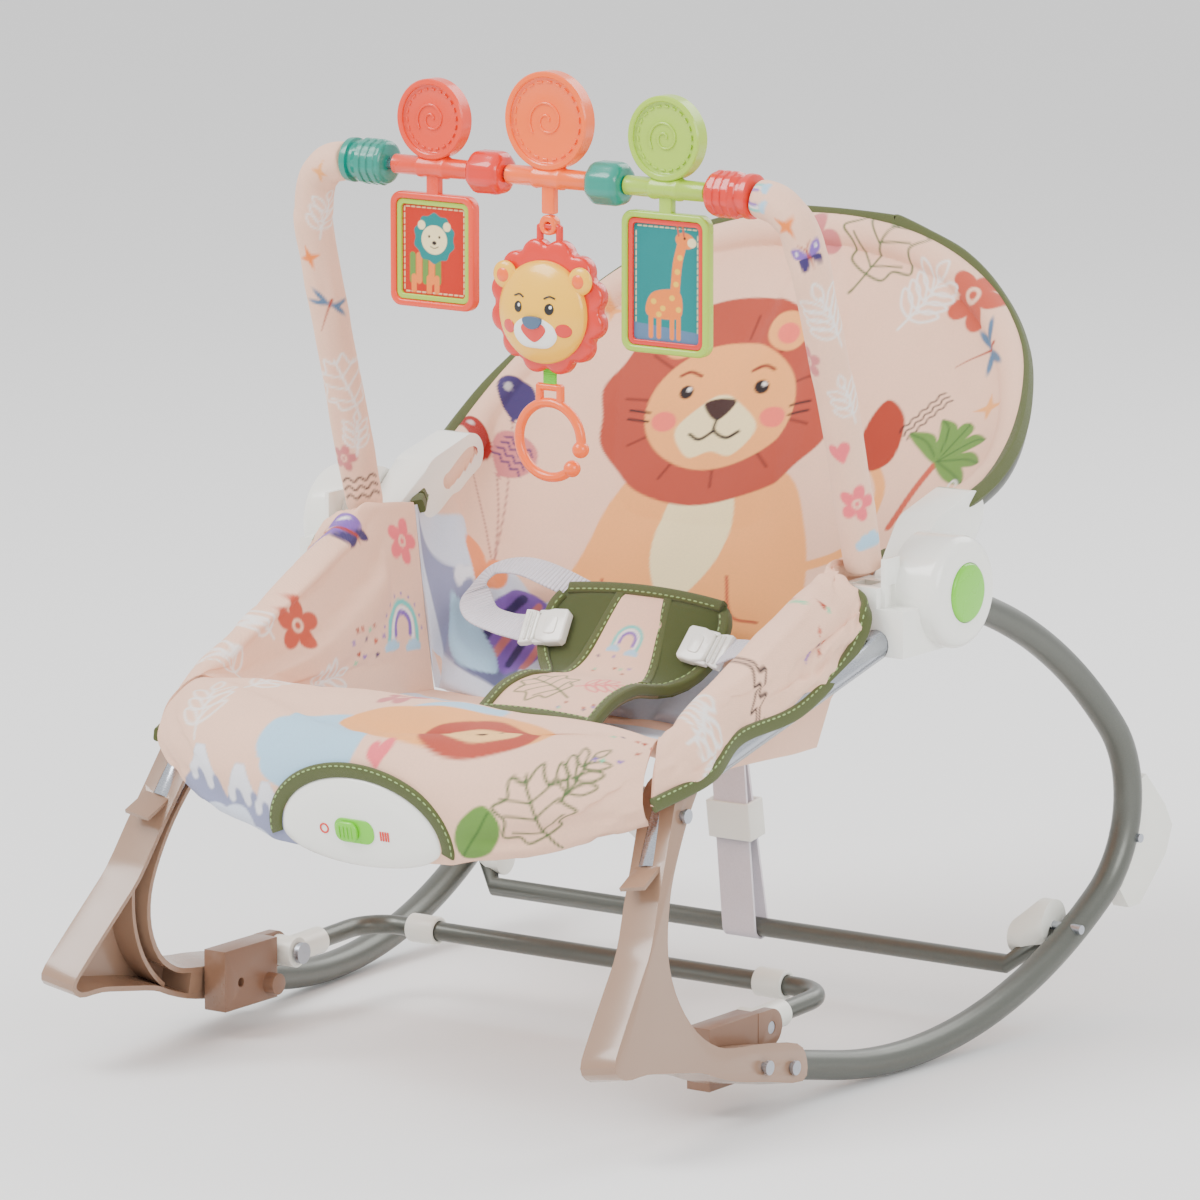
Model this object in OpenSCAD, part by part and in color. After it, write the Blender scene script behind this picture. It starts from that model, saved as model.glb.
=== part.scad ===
// Infant-to-toddler bouncer seat: steel rocker frame, padded sling seat, folding kickstand and a toy bar.
// Heights are above the floor. Y starts at the front toes and is centred on the whole length at the end.

/* [Frame] */
// Half the distance between the rocker tubes at the front
track_half = 213; // [205:1:225]
// Angle by which each rocker tube spreads outward to the rear
splay = 4.6; // [3:0.2:5]
// Angle by which the front legs lean inward at the top
lean = 10; // [8:0.5:12]
// Outer diameter of the main steel tubes
tube_d = 19; // [17:0.5:19]
// Wall thickness of the steel tubes
tube_wall = 1.2; // [1:0.1:2]
// Diameter of the kickstand tube and the rear cross bar
thin_tube_d = 12.7; // [11:0.1:13]

/* [Hub] */
// Radius of the white hub drum
hub_r = 36; // [34:0.5:38]
// Height of the recline pivot above the floor
hub_z = 306; // [304:1:308]
// Diameter of the recline release button
button_d = 38; // [34:1:40]

/* [Backrest] */
// Angle of the backrest above horizontal, fully reclined
recline = 29; // [27:0.5:31]
// Half width of the backrest tube between its straight sides
back_half = 194; // [190:1:196]

/* [Toys] */
// Height of the toy rod
rod_z = 562; // [560:1:566]
// Diameter of the toy rod
rod_d = 8; // [7.6:0.1:8]
// Diameter of the padded sleeves on the toy bar arms
sleeve_d = 27; // [25:0.5:28]

/* [Hidden] */
$fn = 48;

mid_y = 298;            // the middle of the whole length, seen from the toes
tube_r = tube_d / 2;
thin_r = thin_tube_d / 2;
run_gap = 0.05;         // radial clearance of a turning fit
hub_y = 345;
splay_y = 165;          // where the rocker tubes start to spread
leg_w = 26;
leg_wall = 3.5;
lean_z = 35;            // height of the axis that the legs lean about
hub_in = 214;           // inner and outer faces of the hub drum
hub_out = 250;
bolt_a = [151, 34];     // the two bolts in each leg's tail
bolt_b = [181, 28];
bolt_r = 3;
rod_y = 243;
kick_y = 203;           // kickstand pivot
kick_z = 45;

// ---------- helpers ----------
module right() { translate([0, -mid_y, 0]) children(); }
module left() { mirror([1, 0, 0]) right() children(); }
module both() { right() children(); left() children(); }

// Shape drawn in the (y, z) plane and raised along X
module along_x(h) { rotate([90, 0, 90]) linear_extrude(h) children(); }

// Cylinder along X, from x = a to x = b, at the given y and z
module bar_x(a, b, r, y, z) { translate([a, y, z]) rotate([0, 90, 0]) cylinder(r = r, h = b - a); }

// Cylinder between two points
module rod(p, q, r) {
    d = q - p;
    len = norm(d);
    translate(p) rotate([0, acos(d[2] / len), atan2(d[1], d[0])]) cylinder(r = r, h = len);
}

module ring_section(r) {
    difference() {
        circle(r = r);
        circle(r = r - tube_wall);
    }
}

// Bent tube that starts along +Y; each run is [straight length, roll, bend radius, bend angle]
module bent_tube(r, runs, i = 0) {
    if (i < len(runs)) {
        run = runs[i];
        if (run[0] > 0) rotate([-90, 0, 0]) linear_extrude(run[0]) ring_section(r);
        translate([0, run[0], 0]) rotate([0, run[1], 0]) {
            if (run[3] > 0) translate([0, 0, run[2]]) rotate([0, 90, 0])
                rotate_extrude(angle = run[3]) translate([run[2], 0]) ring_section(r);
            translate([0, run[2] * sin(run[3]), run[2] * (1 - cos(run[3]))])
                rotate([run[3], 0, 0]) rotate([0, -run[1], 0]) bent_tube(r, runs, i + 1);
        }
    }
}

function lerp(a, b, t) = a + (b - a) * t;

// Catmull-Rom curve through points, n steps a span
function cat(a, b, c, d, t) = 0.5 * (2 * b + (c - a) * t + (2 * a - 5 * b + 4 * c - d) * t * t
    + (3 * b - a - 3 * c + d) * t * t * t);
function closed_curve(p, n) = let (m = len(p)) [for (i = [0 : m - 1]) for (k = [0 : n - 1])
    cat(p[(i + m - 1) % m], p[i], p[(i + 1) % m], p[(i + 2) % m], k / n)];

// Closed solid through equal-sized closed sections, each an upper line and a lower line back
module skin(sections) {
    n = len(sections[0]);
    m = len(sections);
    h = n / 2;
    polyhedron(
        points = [for (s = sections) for (p = s) p],
        faces = concat(
            [for (k = [0 : h - 2]) [k, k + 1, n - 1 - k]],
            [for (k = [0 : h - 2]) [k + 1, n - 2 - k, n - 1 - k]],
            [for (k = [0 : h - 2]) [(m - 1) * n + k + 1, (m - 1) * n + k, m * n - 1 - k]],
            [for (k = [0 : h - 2]) [m * n - 2 - k, (m - 1) * n + k + 1, m * n - 1 - k]],
            [for (i = [0 : m - 2]) for (k = [0 : n - 1])
                [i * n + k, (i + 1) * n + k, (i + 1) * n + (k + 1) % n]],
            [for (i = [0 : m - 2]) for (k = [0 : n - 1])
                [i * n + k, (i + 1) * n + (k + 1) % n, i * n + (k + 1) % n]]),
        convexity = 8);
}

// Round bar of 12 sides swept through points, ring by ring
module sweep(pts, r, sides = 12, ref = [0, 1, 0.2]) {
    m = len(pts);
    skin([for (i = [0 : m - 1]) let (
        d = pts[min(i + 1, m - 1)] - pts[max(i - 1, 0)],
        t = d / norm(d),
        a = cross(t, ref),
        u = a / norm(a),
        v = cross(t, u))
        [for (k = [0 : sides - 1]) let (w = 360 * k / sides) pts[i] - r * cos(w) * u - r * sin(w) * v]]);
}

// ---------- rocker tubes ----------
// Each run is [straight length, bend radius, bend angle], seen from the side
rocker_runs = [[103.4, 364, 46.5], [0, 75, 95.7], [0, 358, 27.1], [38, 1, 0.1]];

// Points along straight and bent runs in a plane, from point p with heading a
function walk(runs, p, a, i = 0) = i >= len(runs) ? [p] : let (
        run = runs[i],
        q = p + run[0] * [cos(a), sin(a)],
        n = ceil(run[1] * run[2] / 1000),
        bend = [for (k = [0 : n]) let (b = a + run[2] * k / n)
            q + run[1] * [sin(b) - sin(a), cos(a) - cos(b)]])
    concat(run[0] > 20 ? [p] : [], [for (k = [0 : n - 1]) bend[k]], walk(runs, bend[n], a + run[2], i + 1));
function splayed(p) = [track_half + (p[0] - splay_y) * sin(splay),
    splay_y + (p[0] - splay_y) * cos(splay), p[1]];
rocker_path = [for (p = walk(rocker_runs, [140, 36], -11)) splayed(p)];

module rocker_solid(r) { sweep(rocker_path, r, 20, [1, 0, 0]); }

module rocker_tube() {
    color("dimgray") difference() {
        rocker_solid(tube_r);
        sweep(concat([rocker_path[0] - [0, 1, -0.2]], [for (k = [1 : len(rocker_path) - 2]) rocker_path[k]],
            [rocker_path[len(rocker_path) - 1] - [0.1, 1, -0.4]]), tube_r - tube_wall, 20, [1, 0, 0]);
        leg_bolt_holes(bolt_r + 0.1);
        foot_screw(bolt_r + 0.1, 20);
        bracket_screw(bolt_r + 0.1, 22);
    }
}

module leg_bolt_holes(r) {
    bar_x(170, 240, r, bolt_a[0], bolt_a[1]);
    bar_x(170, 240, r, bolt_b[0], bolt_b[1]);
}

// ---------- front legs ----------
// Outline of the leg seen from the side: toe, front edge, top, rear edge, tail, sole
leg_points = [[-4, 62], [10, 80], [34, 106], [50, 124], [65, 151], [79, 175], [92, 198], [103, 216],
    [116, 222], [125, 214], [110, 197], [95, 178], [81, 157], [71, 133], [67, 110], [72, 87],
    [86, 66], [106, 53], [128, 48.5], [152, 46], [190, 39], [198, 27], [190, 15], [152, 22],
    [122, 28], [100, 35], [84, 41], [52, 47], [28, 51], [5, 52]];
leg_outline = closed_curve(leg_points, 3);

module leg_place() {
    translate([track_half, 0, lean_z]) rotate([0, -lean, 0]) translate([-leg_w / 2, 0, -lean_z])
        children();
}

module leg_rib() {
    intersection() {
        polygon(leg_outline);
        difference() {
            translate([155, 128]) circle(r = 105, $fn = 96);
            translate([155, 128]) circle(r = 102, $fn = 96);
            translate([100, -100]) square([300, 400]);
        }
    }
}

module front_leg() {
    color("tan") difference() {
        leg_place() {
            difference() {
                along_x(leg_w) polygon(leg_outline);
                translate([-1, 0, 0]) along_x(leg_w - leg_wall + 1) intersection() {
                    offset(delta = -leg_wall) polygon(leg_outline);
                    translate([-20, 0]) square([142, 260]);
                }
            }
            translate([4, 0, 0]) along_x(leg_w - 4 - leg_wall) leg_rib();
            translate([4, 58, 160]) rotate([25, 0, 0]) cube([leg_w - 4 - leg_wall, 26, 2.5]);
        }
        translate([track_half, splay_y, 0]) rotate([0, 0, -splay])
            translate([0, 139 - splay_y, 36.2]) rotate([-11, 0, 0]) rotate([-90, 0, 0])
                cylinder(r = tube_r + 0.1, h = 80);
        leg_bolt_holes(bolt_r + 0.1);
        bar_x(170, 240, bolt_r + 0.1, leg_bolt_y, leg_bolt_z);
        seat_tube_solid(tube_r + 0.1);
    }
}

// ---------- seat frame ----------
// Point of the leg's own side view, moved into place with its lean
function leaned(x, y, z) = [track_half + (x - leg_w / 2) * cos(lean) - (z - lean_z) * sin(lean),
    y, lean_z + (x - leg_w / 2) * sin(lean) + (z - lean_z) * cos(lean)];
leg_tube_x = 11.5;
seat_foot = leaned(leg_tube_x, 84, 168);
seat_corner = leaned(leg_tube_x, 108, 210);
seat_rear = [221, 322, 288];
leg_bolt_y = 103;
leg_bolt_z = 198;

module seat_tube_solid(r) { sweep([seat_foot, seat_corner, seat_rear], r, 16, [1, 0, 0]); }

module seat_tube() {
    color("silver") difference() {
        seat_tube_solid(tube_r);
        sweep([seat_foot - [0, 1.2, 2.1], seat_corner, seat_rear + [0.5, 2.6, 1]], tube_r - tube_wall,
            16, [1, 0, 0]);
        bar_x(160, 240, bolt_r + 0.1, leg_bolt_y, leg_bolt_z);
    }
}

front_tube_y = 116;
front_tube_z = 196;
front_tube_half = 160;
front_tube_rise = 32;

module seat_front_tube() {
    r_arch = (pow(front_tube_half, 2) + pow(front_tube_rise, 2)) / (2 * front_tube_rise);
    half = asin(front_tube_half / r_arch);
    color("silver") translate([0, front_tube_y - mid_y, front_tube_z]) rotate([18, 0, 0])
        translate([0, 0, front_tube_rise - r_arch]) rotate([90, 0, 0])
            rotate([0, 0, 90 - half]) rotate_extrude(angle = 2 * half) translate([r_arch, 0])
                ring_section(thin_r);
}

module leg_bracket() {
    color("white") difference() {
        hull() {
            bar_x(152, 162, 14, front_tube_y - 2, 196);
            bar_x(152, 162, 10, front_tube_y + 18, 176);
        }
        rod([150, front_tube_y - 1, 198], [163, front_tube_y, 195], thin_r + 0.2);
    }
    color("white") difference() {
        hull() {
            bar_x(162.4, 166, 11, front_tube_y - 6, 192);
            bar_x(162.4, 166, 8, front_tube_y + 12, 176);
        }
        seat_tube_solid(tube_r + 0.5);
        leg_place() along_x(leg_w + 4) polygon(leg_outline);
    }
}

// ---------- hubs ----------
arm_base = [199, 311, 302];     // middle of the toy arm's socket
arm_dir = [0, -0.27, 0.963];    // direction in which the toy bar pulls out
plug_half = 7;

module arm_frame() { translate(arm_base) rotate([15.7, 0, 0]) children(); }

module hub_housing() {
    color("white") difference() {
        union() {
            translate([0, hub_y, hub_z]) {
                rotate([0, 90, 0]) {
                    translate([0, 0, hub_in]) cylinder(r = hub_r, h = hub_out - hub_in - 8, $fn = 72);
                    translate([0, 0, hub_out - 8]) rotate_extrude($fn = 72) intersection() {
                        union() {
                            square([hub_r - 8, 8]);
                            translate([hub_r - 8, 0]) circle(r = 8);
                        }
                        square([hub_r, 8]);
                    }
                }
            }
            // front block with the toy arm socket
            translate([186, 292, 270]) cube([30, 38, 43]);
            translate([hub_in - 0.5, 292, 270]) cube([22.5, 53, 30]);
        }
        arm_frame() translate([-plug_half - 0.3, -plug_half - 0.3, -22])
            cube([2 * plug_half + 0.6, 2 * plug_half + 0.6, 60]);
        seat_tube_solid(tube_r + 0.1);
        rocker_end_bore();
        bar_x(240.5, 252, button_d / 2 + 0.3, hub_y, hub_z);
        bar_x(205, 226, 5.1, hub_y, hub_z);
        // room for the backrest bracket's boss
        bar_x(184, hub_in, 16, hub_y, hub_z);
    }
    // release tab of the toy arm, on the outer side of the socket
    color("white") difference() {
        translate([216, 297, 283]) cube([3, 17, 48]);
        translate([215, 302, 290]) cube([5, 7, 24]);
    }
}

module rocker_end_bore() {
    translate([track_half, splay_y, 0]) rotate([0, 0, -splay])
        translate([0, 399 - splay_y, 285.2]) rotate([158.3, 0, 0]) rotate([-90, 0, 0])
            translate([0, 0, -20]) cylinder(r = tube_r + 0.25, h = 57);
}

module pivot_bolt() {
    color("gray") {
        bar_x(188.5, 226, 5, hub_y, hub_z);
        bar_x(183.5, 188.5, 9, hub_y, hub_z);
    }
}

module release_button() {
    color("yellowgreen") translate([246, hub_y, hub_z]) rotate([0, 90, 0]) {
        cylinder(r = button_d / 2, h = 4.5);
        translate([0, 0, 4.5]) cylinder(r1 = button_d / 2, r2 = button_d / 2 - 1.5, h = 1.5);
    }
}

module button_spring() {
    color("silver") for (k = [0 : 2]) translate([240.5 + 2.1 * k, hub_y, hub_z]) rotate([0, 90, 0])
        difference() {
            cylinder(r = 9, h = 1.3);
            translate([0, 0, -1]) cylinder(r = 7.7, h = 4);
        }
}

// ---------- rear bar, brackets and feet ----------
rear_bar_y = 468;
rear_bar_z = 37;

rear_bar_corner = 205;
rear_bar_tilt = 46;

rear_bar_end = [224, 24.3, 0];

module rear_bar_place() { translate([0, rear_bar_y, rear_bar_z]) rotate([rear_bar_tilt, 0, 0]) children(); }

// Solid along the bar's middle line, run past its ends by reach
module rear_bar_solid(r, reach) {
    corner = [rear_bar_corner, 0, 0];
    tip = rear_bar_end + reach * (rear_bar_end - corner);
    sweep([[-tip[0], tip[1], 0], -corner, corner, tip], r, 16, [0, 0, 1]);
}

module rear_cross_bar() {
    color("dimgray") translate([0, -mid_y, 0]) rear_bar_place() difference() {
        rear_bar_solid(thin_r, 0);
        rear_bar_solid(thin_r - tube_wall, 0.1);
    }
}

// Middle of the rocker tube at the rear bracket and at the rear foot
rear_bracket_at = [238.7, 487, 62];
rear_foot_at = [243.6, 552, 112];

module bracket_screw(r, h) {
    translate(rear_bracket_at) rotate([0, 90, -splay]) translate([0, 0, -h]) cylinder(r = r, h = 2 * h);
}

module foot_screw(r, h) {
    translate(rear_foot_at) rotate([0, 90, -splay]) translate([0, 0, -h]) cylinder(r = r, h = 2 * h);
}

module rear_bracket() {
    color("white") difference() {
        hull() {
            translate(rear_bracket_at - [19.5, -1, -2]) rotate([0, 90, 0]) cylinder(r = 15, h = 9, $fn = 32);
            translate([204, rear_bar_y + 12, 54]) rotate([0, 90, 0]) cylinder(r = 11, h = 10, $fn = 32);
        }
        rear_bar_bore();
        bracket_screw(bolt_r + 0.1, 30);
    }
}

module rear_bar_bore() {
    rear_bar_place() rear_bar_solid(thin_r + 0.3, 0.2);
}

module rear_foot() {
    color("white") difference() {
        translate([238, 0, 0]) along_x(12) polygon([[548, 145], [566, 152], [590, 128], [600, 112], [592, 94],
            [574, 78], [560, 66], [546, 66], [530, 85], [530, 130]]);
        rocker_solid(tube_r + 0.3);
        along_x(400) polygon([for (p = walk(rocker_runs, [140, 36], -11)) if (p[0] > 400) p]);
    }
}

module frame_screws() {
    color("silver") {
        bracket_screw(bolt_r, 12);
        foot_screw(bolt_r, 12);
    }
}

module leg_bolt_set() {
    color("gray") {
        for (b = [bolt_a, bolt_b]) {
            bar_x(186, 229, bolt_r, b[0], b[1]);
            bar_x(229, 231, 4.6, b[0], b[1]);
        }
        bar_x(168, 200, bolt_r, leg_bolt_y, leg_bolt_z);
        bar_x(200, 202, 4.6, leg_bolt_y, leg_bolt_z);
    }
}

// ---------- kickstand ----------
module kickstand_block() {
    color("rosybrown") difference() {
        union() {
            translate([180, 134, 17]) cube([17, 56, 40]);
            translate([190.5, 188, 33]) cube([7, 15, 24]);
            bar_x(190.5, 197.5, 12, kick_y, kick_z);
            bar_x(172, 180, 7, bolt_b[0], bolt_b[1]);
        }
        bar_x(178, 240, bolt_r + 0.1, bolt_a[0], bolt_a[1]);
        bar_x(178, 240, bolt_r + 0.1, bolt_b[0], bolt_b[1]);
        bar_x(150, 240, 4 + run_gap, kick_y, kick_z);
        leg_place() translate([0.3, 0, 0]) along_x(leg_w + 4) polygon(leg_outline);
        translate([track_half, splay_y, 0]) rotate([0, 0, -splay])
            translate([0, 139 - splay_y, 36.2]) rotate([-11, 0, 0]) rotate([-90, 0, 0])
                cylinder(r = tube_r + 0.4, h = 80);
    }
}

module kickstand_pin() {
    color("silver") {
        bar_x(171.5, 197, 4, kick_y, kick_z);
        bar_x(168, 171.5, 7, kick_y, kick_z);
    }
}

module kickstand_eye() {
    color("whitesmoke") difference() {
        union() {
            bar_x(173, 190, 10, kick_y, kick_z);
            rod([181.5, kick_y, kick_z], [181.5, kick_y + 34, kick_z + 1], 9);
        }
        bar_x(150, 240, 4 + run_gap, kick_y, kick_z);
        rod([181.5, kick_y + 13, kick_z + 0.4], [181.5, kick_y + 60, kick_z + 1.8], thin_r + 0.1);
    }
}

kick_bend = 26;
kick_reach = 92;        // from the pivot to the cross bar

module kickstand_tube() {
    side = kick_reach - kick_bend - 14;
    color("dimgray") translate([181.5, kick_y + 14 - mid_y, kick_z + 0.4]) rotate([1.7, 0, 0])
        bent_tube(thin_r, [[side, -90, kick_bend, 90], [2 * (181.5 - kick_bend), -90, kick_bend, 90],
            [side, 0, 0, 0]]);
}

module kickstand_clip() {
    color("whitesmoke") difference() {
        bar_x(126, 148, 9.5, kick_y + kick_reach, kick_z + 3.1);
        bar_x(120, 152, thin_r + 0.1, kick_y + kick_reach, kick_z + 3.1);
    }
}

// ---------- backrest ----------
module back_plane() { translate([0, hub_y, hub_z]) rotate([recline, 0, 0]) children(); }
function back_pt(x, t, n) = [x, hub_y + t * cos(recline) - n * sin(recline),
    hub_z + t * sin(recline) + n * cos(recline)];
back_tube_start = 48;

// Middle line of the right half of the backrest tube above its bracket; its top bends forward
back_tube_pts = [[199, 434, 351], [202, 454, 362], [199, 476, 378], [190, 498, 397], [173, 522, 421],
    [150, 541, 444], [120, 556, 463], [84, 566, 478], [44, 571, 487]];

back_tube_half = concat([back_pt(back_half, back_tube_start, 0), back_pt(back_half, 78, 0)], back_tube_pts);
back_tube_ref = [0, -0.485, 0.875];

module backrest_tube() {
    color("dimgray") translate([0, -mid_y, 0]) sweep(concat(back_tube_half, [[0, 573, 490]],
        [for (q = flip(back_tube_half)) [-q[0], q[1], q[2]]]), tube_r - 1, 16, back_tube_ref);
}

module backrest_bracket() {
    color("white") difference() {
        back_plane() {
            bar_x(189, 213.6, 15.4, 0, 0);
            hull() {
                bar_x(190, 212, 15, 0, 0);
                bar_x(184, 212, 25, 40, -2);
            }
            hull() {
                bar_x(184, 212, 25, 40, -2);
                bar_x(184, 210, 14, 78, 0);
            }
        }
        bar_x(150, 240, 5 + run_gap, hub_y, hub_z);
        bar_x(183, 190.5, 9.4, hub_y, hub_z);
        sweep(concat([back_pt(back_half, back_tube_start - 4, 0)], [for (k = [0 : 4]) back_tube_half[k]]),
            tube_r - 0.9, 16, back_tube_ref);
    }
}

// Rows of the backrest sling: [edge y, edge z, middle y, middle z, half width, fullness]
back_rows = [[350, 319, 331, 204, 178, 5], [376, 334, 368, 236, 197, 4.5], [410, 350, 408, 277, 207, 4],
    [440, 364, 444, 318, 211, 3.5], [470, 383, 477, 358, 208, 3], [500, 406, 506, 396, 196, 2.8],
    [528, 431, 532, 430, 177, 2.4], [550, 457, 553, 460, 148, 2.2], [567, 482, 569, 485, 107, 2],
    [577, 500, 578, 501, 50, 2]];
across = 14;
pad_t = 9;

function back_row(q, drop) = [for (k = [0 : across]) let (u = 2 * k / across - 1, f = 1 - pow(abs(u), q[5]))
    [q[4] * u, lerp(q[0], q[2], f) + drop * 0.5, lerp(q[1], q[3], f) - drop * 0.87]];
function flip(list) = [for (k = [len(list) - 1 : -1 : 0]) list[k]];

module backrest_cover() {
    color("bisque") translate([0, -mid_y, 0])
        skin([for (q = back_rows) concat(back_row(q, 0), flip(back_row(q, pad_t)))]);
}

// ---------- seat sling ----------
// Rows of the seat panel: [middle y, middle z, edge x, edge y, edge z, pad y, pad z, how late the edges fall]
seat_rows = [[54, 151, 184, 86, 193, 12, 3, 2], [38, 176, 187, 78, 199, 13, 0, 2.6],
    [40, 208, 187, 75, 212, 9, -9, 4], [62, 232, 183, 85, 231, 4, -12, 5], [101, 246, 176, 110, 242, 0, -10, 6],
    [150, 235, 174, 150, 218, -1, -9, 4], [210, 215, 162, 215, 211, -1, -9, 2.2],
    [270, 201, 154, 275, 206, 0, -9, 2.2], [322, 198, 149, 322, 203, 0, -9, 2.2]];

function seat_row(q, k) = [for (j = [0 : across]) let (u = 2 * j / across - 1, f = pow(abs(u), q[7]))
    [q[2] * u, lerp(q[0], q[3], f) + k * q[5], lerp(q[1], q[4], f) + k * q[6]]];

module seat_cover() {
    color("peachpuff") difference() {
        translate([0, -mid_y, 0]) skin([for (q = seat_rows) concat(seat_row(q, 0), flip(seat_row(q, 1)))]);
        unit_place() translate([0, 0, -60]) linear_extrude(90) polygon(almond(0.4));
    }
}

// Wing sections from the front crease to the backrest: fold, rise, crest, two points outside, hem
wing_rows = [
    [[174, 111, 242], [175, 110, 242.5], [177, 107, 242.5], [180, 103, 237], [184, 99, 226], [187, 96, 207]],
    [[175, 132, 228], [176, 131, 240], [181, 128, 251], [190, 127, 249], [198, 127, 236], [202, 127, 219]],
    [[172, 160, 215], [174, 160, 240], [181, 159, 266], [191, 159, 262], [198, 160, 250], [201, 161, 237]],
    [[161, 215, 210], [168, 215, 250], [180, 213, 288], [194, 213, 284], [204, 214, 270], [208, 215, 256]],
    [[154.5, 265, 206], [164, 265, 258], [180, 262, 310], [196, 263, 308], [208, 264, 298], [213, 265, 285]],
    [[152, 290, 204], [164, 287, 262], [181, 283, 319], [194, 282, 321], [204, 282, 318], [210, 283, 309]],
    [[150.5, 306, 203.5], [163, 304, 264], [179, 298, 323], [182, 293, 325], [184, 291, 322], [184.5, 290, 315]],
    [[149, 322, 203], [163, 330, 260], [178, 341, 317], [180.5, 341, 319], [181.5, 340, 316], [181.5, 339, 311]]];
wing_under = [[3, 0, -4], [4, 0, -2], [1.5, 0, -5], [-1, 0, -5], [-2.5, 0, -3], [-2.5, 0, 0]];

function wing_section(q) = concat(q, [for (k = [5 : -1 : 0]) q[k] + wing_under[k]]);

module wing() { color("peachpuff") skin([for (q = wing_rows) wing_section(q)]); }

// ---------- vibration unit ----------
unit_half = 62;

// Almond outline of the unit's front, in x and height
function almond(g) = concat(
    [for (k = [0 : 16]) let (a = 180 * k / 16) [-(unit_half + g) * cos(a), (41 + g) * sin(a)]],
    [for (k = [1 : 15]) let (a = 180 * k / 16) [(unit_half + g) * cos(a), -(19 + g) * sin(a)]]);

module unit_place() { translate([0, 44 - mid_y, 172]) rotate([12, 0, 0]) rotate([90, 0, 0]) children(); }

module vibration_cover() {
    color("white") unit_place() difference() {
        union() {
            linear_extrude(5) polygon(almond(0));
            translate([0, 0, 5]) linear_extrude(3) polygon(almond(-6));
            translate([0, 0, 8]) linear_extrude(2) polygon(almond(-16));
        }
        translate([-14.5, -0.5, 6]) cube([29, 15, 10]);
        translate([-11, 3, -1]) cube([22, 8, 20]);
    }
}

module vibration_switch() {
    color("limegreen") unit_place() {
        translate([-10, 3.3, 0]) cube([10, 7.4, 8]);
        translate([-13.5, 0, 7]) cube([17, 14, 5]);
    }
}

module vibration_housing() {
    color("gainsboro") unit_place() translate([0, 0, -42]) difference() {
        translate([-42, -12, 0]) cube([84, 38, 41.7]);
        translate([-39.5, -9.5, 3]) cube([79, 33, 40]);
        translate([-30, -20, 10]) cube([60, 20, 26]);
    }
}

module battery_door() {
    color("gainsboro") unit_place() translate([-29.7, -11.9, -31.7]) cube([59.4, 2, 25.4]);
}

module batteries() {
    color("seagreen") unit_place() for (s = [-1, 1]) translate([-25, -2, -19 + s * 7.5]) rotate([0, 90, 0])
        cylinder(r = 7, h = 50);
}

module vibration_motor() {
    color("silver") unit_place() translate([-15, 14, -22]) rotate([0, 90, 0]) {
        cylinder(r = 8, h = 26);
        translate([0, 0, 26]) cylinder(r = 1, h = 2.5);
        translate([0, 3, 28]) cylinder(r = 4.5, h = 5);
    }
}

// ---------- harness ----------
pad_rows = [[44, 226, 216], [44, 250, 227], [44, 275, 231], [46, 300, 228], [58, 318, 233],
    [68, 332, 250], [68, 345, 268], [58, 356, 281]];

module crotch_pad() {
    color("darkseagreen") translate([0, -mid_y, 0]) skin([for (q = pad_rows)
        [[-q[0], q[1], q[2]], [q[0], q[1], q[2]], [q[0], q[1] + 3, q[2] - 7], [-q[0], q[1] + 3, q[2] - 7]]]);
}

// Waist strap seen from the front: half width and height of its middle line
strap_path = [[146, 222], [142, 246], [128, 256], [90, 250], [72, 245.5]];
strap_t = 2;

module waist_strap() {
    color("lavender") translate([0, 322, 0]) rotate([90, 0, 0]) linear_extrude(20) polygon(concat(strap_path,
        [for (q = flip(strap_path)) q - [strap_t, strap_t]]));
}

module buckle() {
    color("white") translate([50, 322, 237.5]) rotate([52, 0, 0]) cube([22, 30, 9]);
}

// Tether seen from the side: up from the rear cross bar to the underside of the backrest
module tether_strap() {
    color("lavender") translate([-13, -mid_y, 0]) {
        difference() {
            along_x(26) hull() {
                translate([rear_bar_y, rear_bar_z]) circle(r = thin_r + 2, $fn = 32);
                translate([449, 150]) circle(r = 3, $fn = 32);
            }
            translate([-1, 0, 0]) along_x(80) hull() {
                translate([rear_bar_y, rear_bar_z]) circle(r = thin_r + 0.3, $fn = 32);
                translate([449, 150]) circle(r = 1, $fn = 32);
            }
        }
        translate([0, 447, 152.8]) rotate([4, 0, 0]) cube([26, 2.5, 136]);
    }
}

module strap_adjuster() {
    color("white") translate([-17, 449 - mid_y, 98]) rotate([9, 0, 0]) difference() {
        cube([34, 18, 26]);
        translate([3.5, 2.5, -1]) cube([27, 13, 28]);
    }
}

// ---------- toy bar ----------
arm_foot = arm_base + 14.6 * arm_dir;
arm_knee = [193, 253.5, 508];
arm_corner = [186, 246, 545];
arm_shoulder = [172, 243.5, 558.5];
arm_pts = [arm_foot, [195, 284, 412], arm_knee, [190, 249, 528], arm_corner, [180, 244.5, 553],
    arm_shoulder, [150, rod_y, rod_z]];

module toy_arm() {
    color("gainsboro") {
        arm_frame() translate([-plug_half, -plug_half, -14]) cube([2 * plug_half, 2 * plug_half, 29]);
        sweep(arm_pts, 8);
    }
}

module arm_sleeve() {
    color("bisque") sweep(concat([arm_base + 18 * arm_dir], [for (k = [1 : 6]) arm_pts[k]],
        [[159.5, rod_y, rod_z - 0.6]]), sleeve_d / 2);
}

module arm_cap() {
    difference() {
        union() {
            bar_x(124, 148, 15, rod_y, rod_z);
            bar_x(148, 151, 12.5, rod_y, rod_z);
            for (k = [0 : 2]) bar_x(151 + 2.8 * k, 153 + 2.8 * k, 14.5, rod_y, rod_z);
            bar_x(151, 156.8, 13.4, rod_y, rod_z);
        }
        bar_x(100, 146, rod_d / 2 + 0.02, rod_y, rod_z);
        bar_x(146, 170, 8.3, rod_y, rod_z);
    }
}

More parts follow.
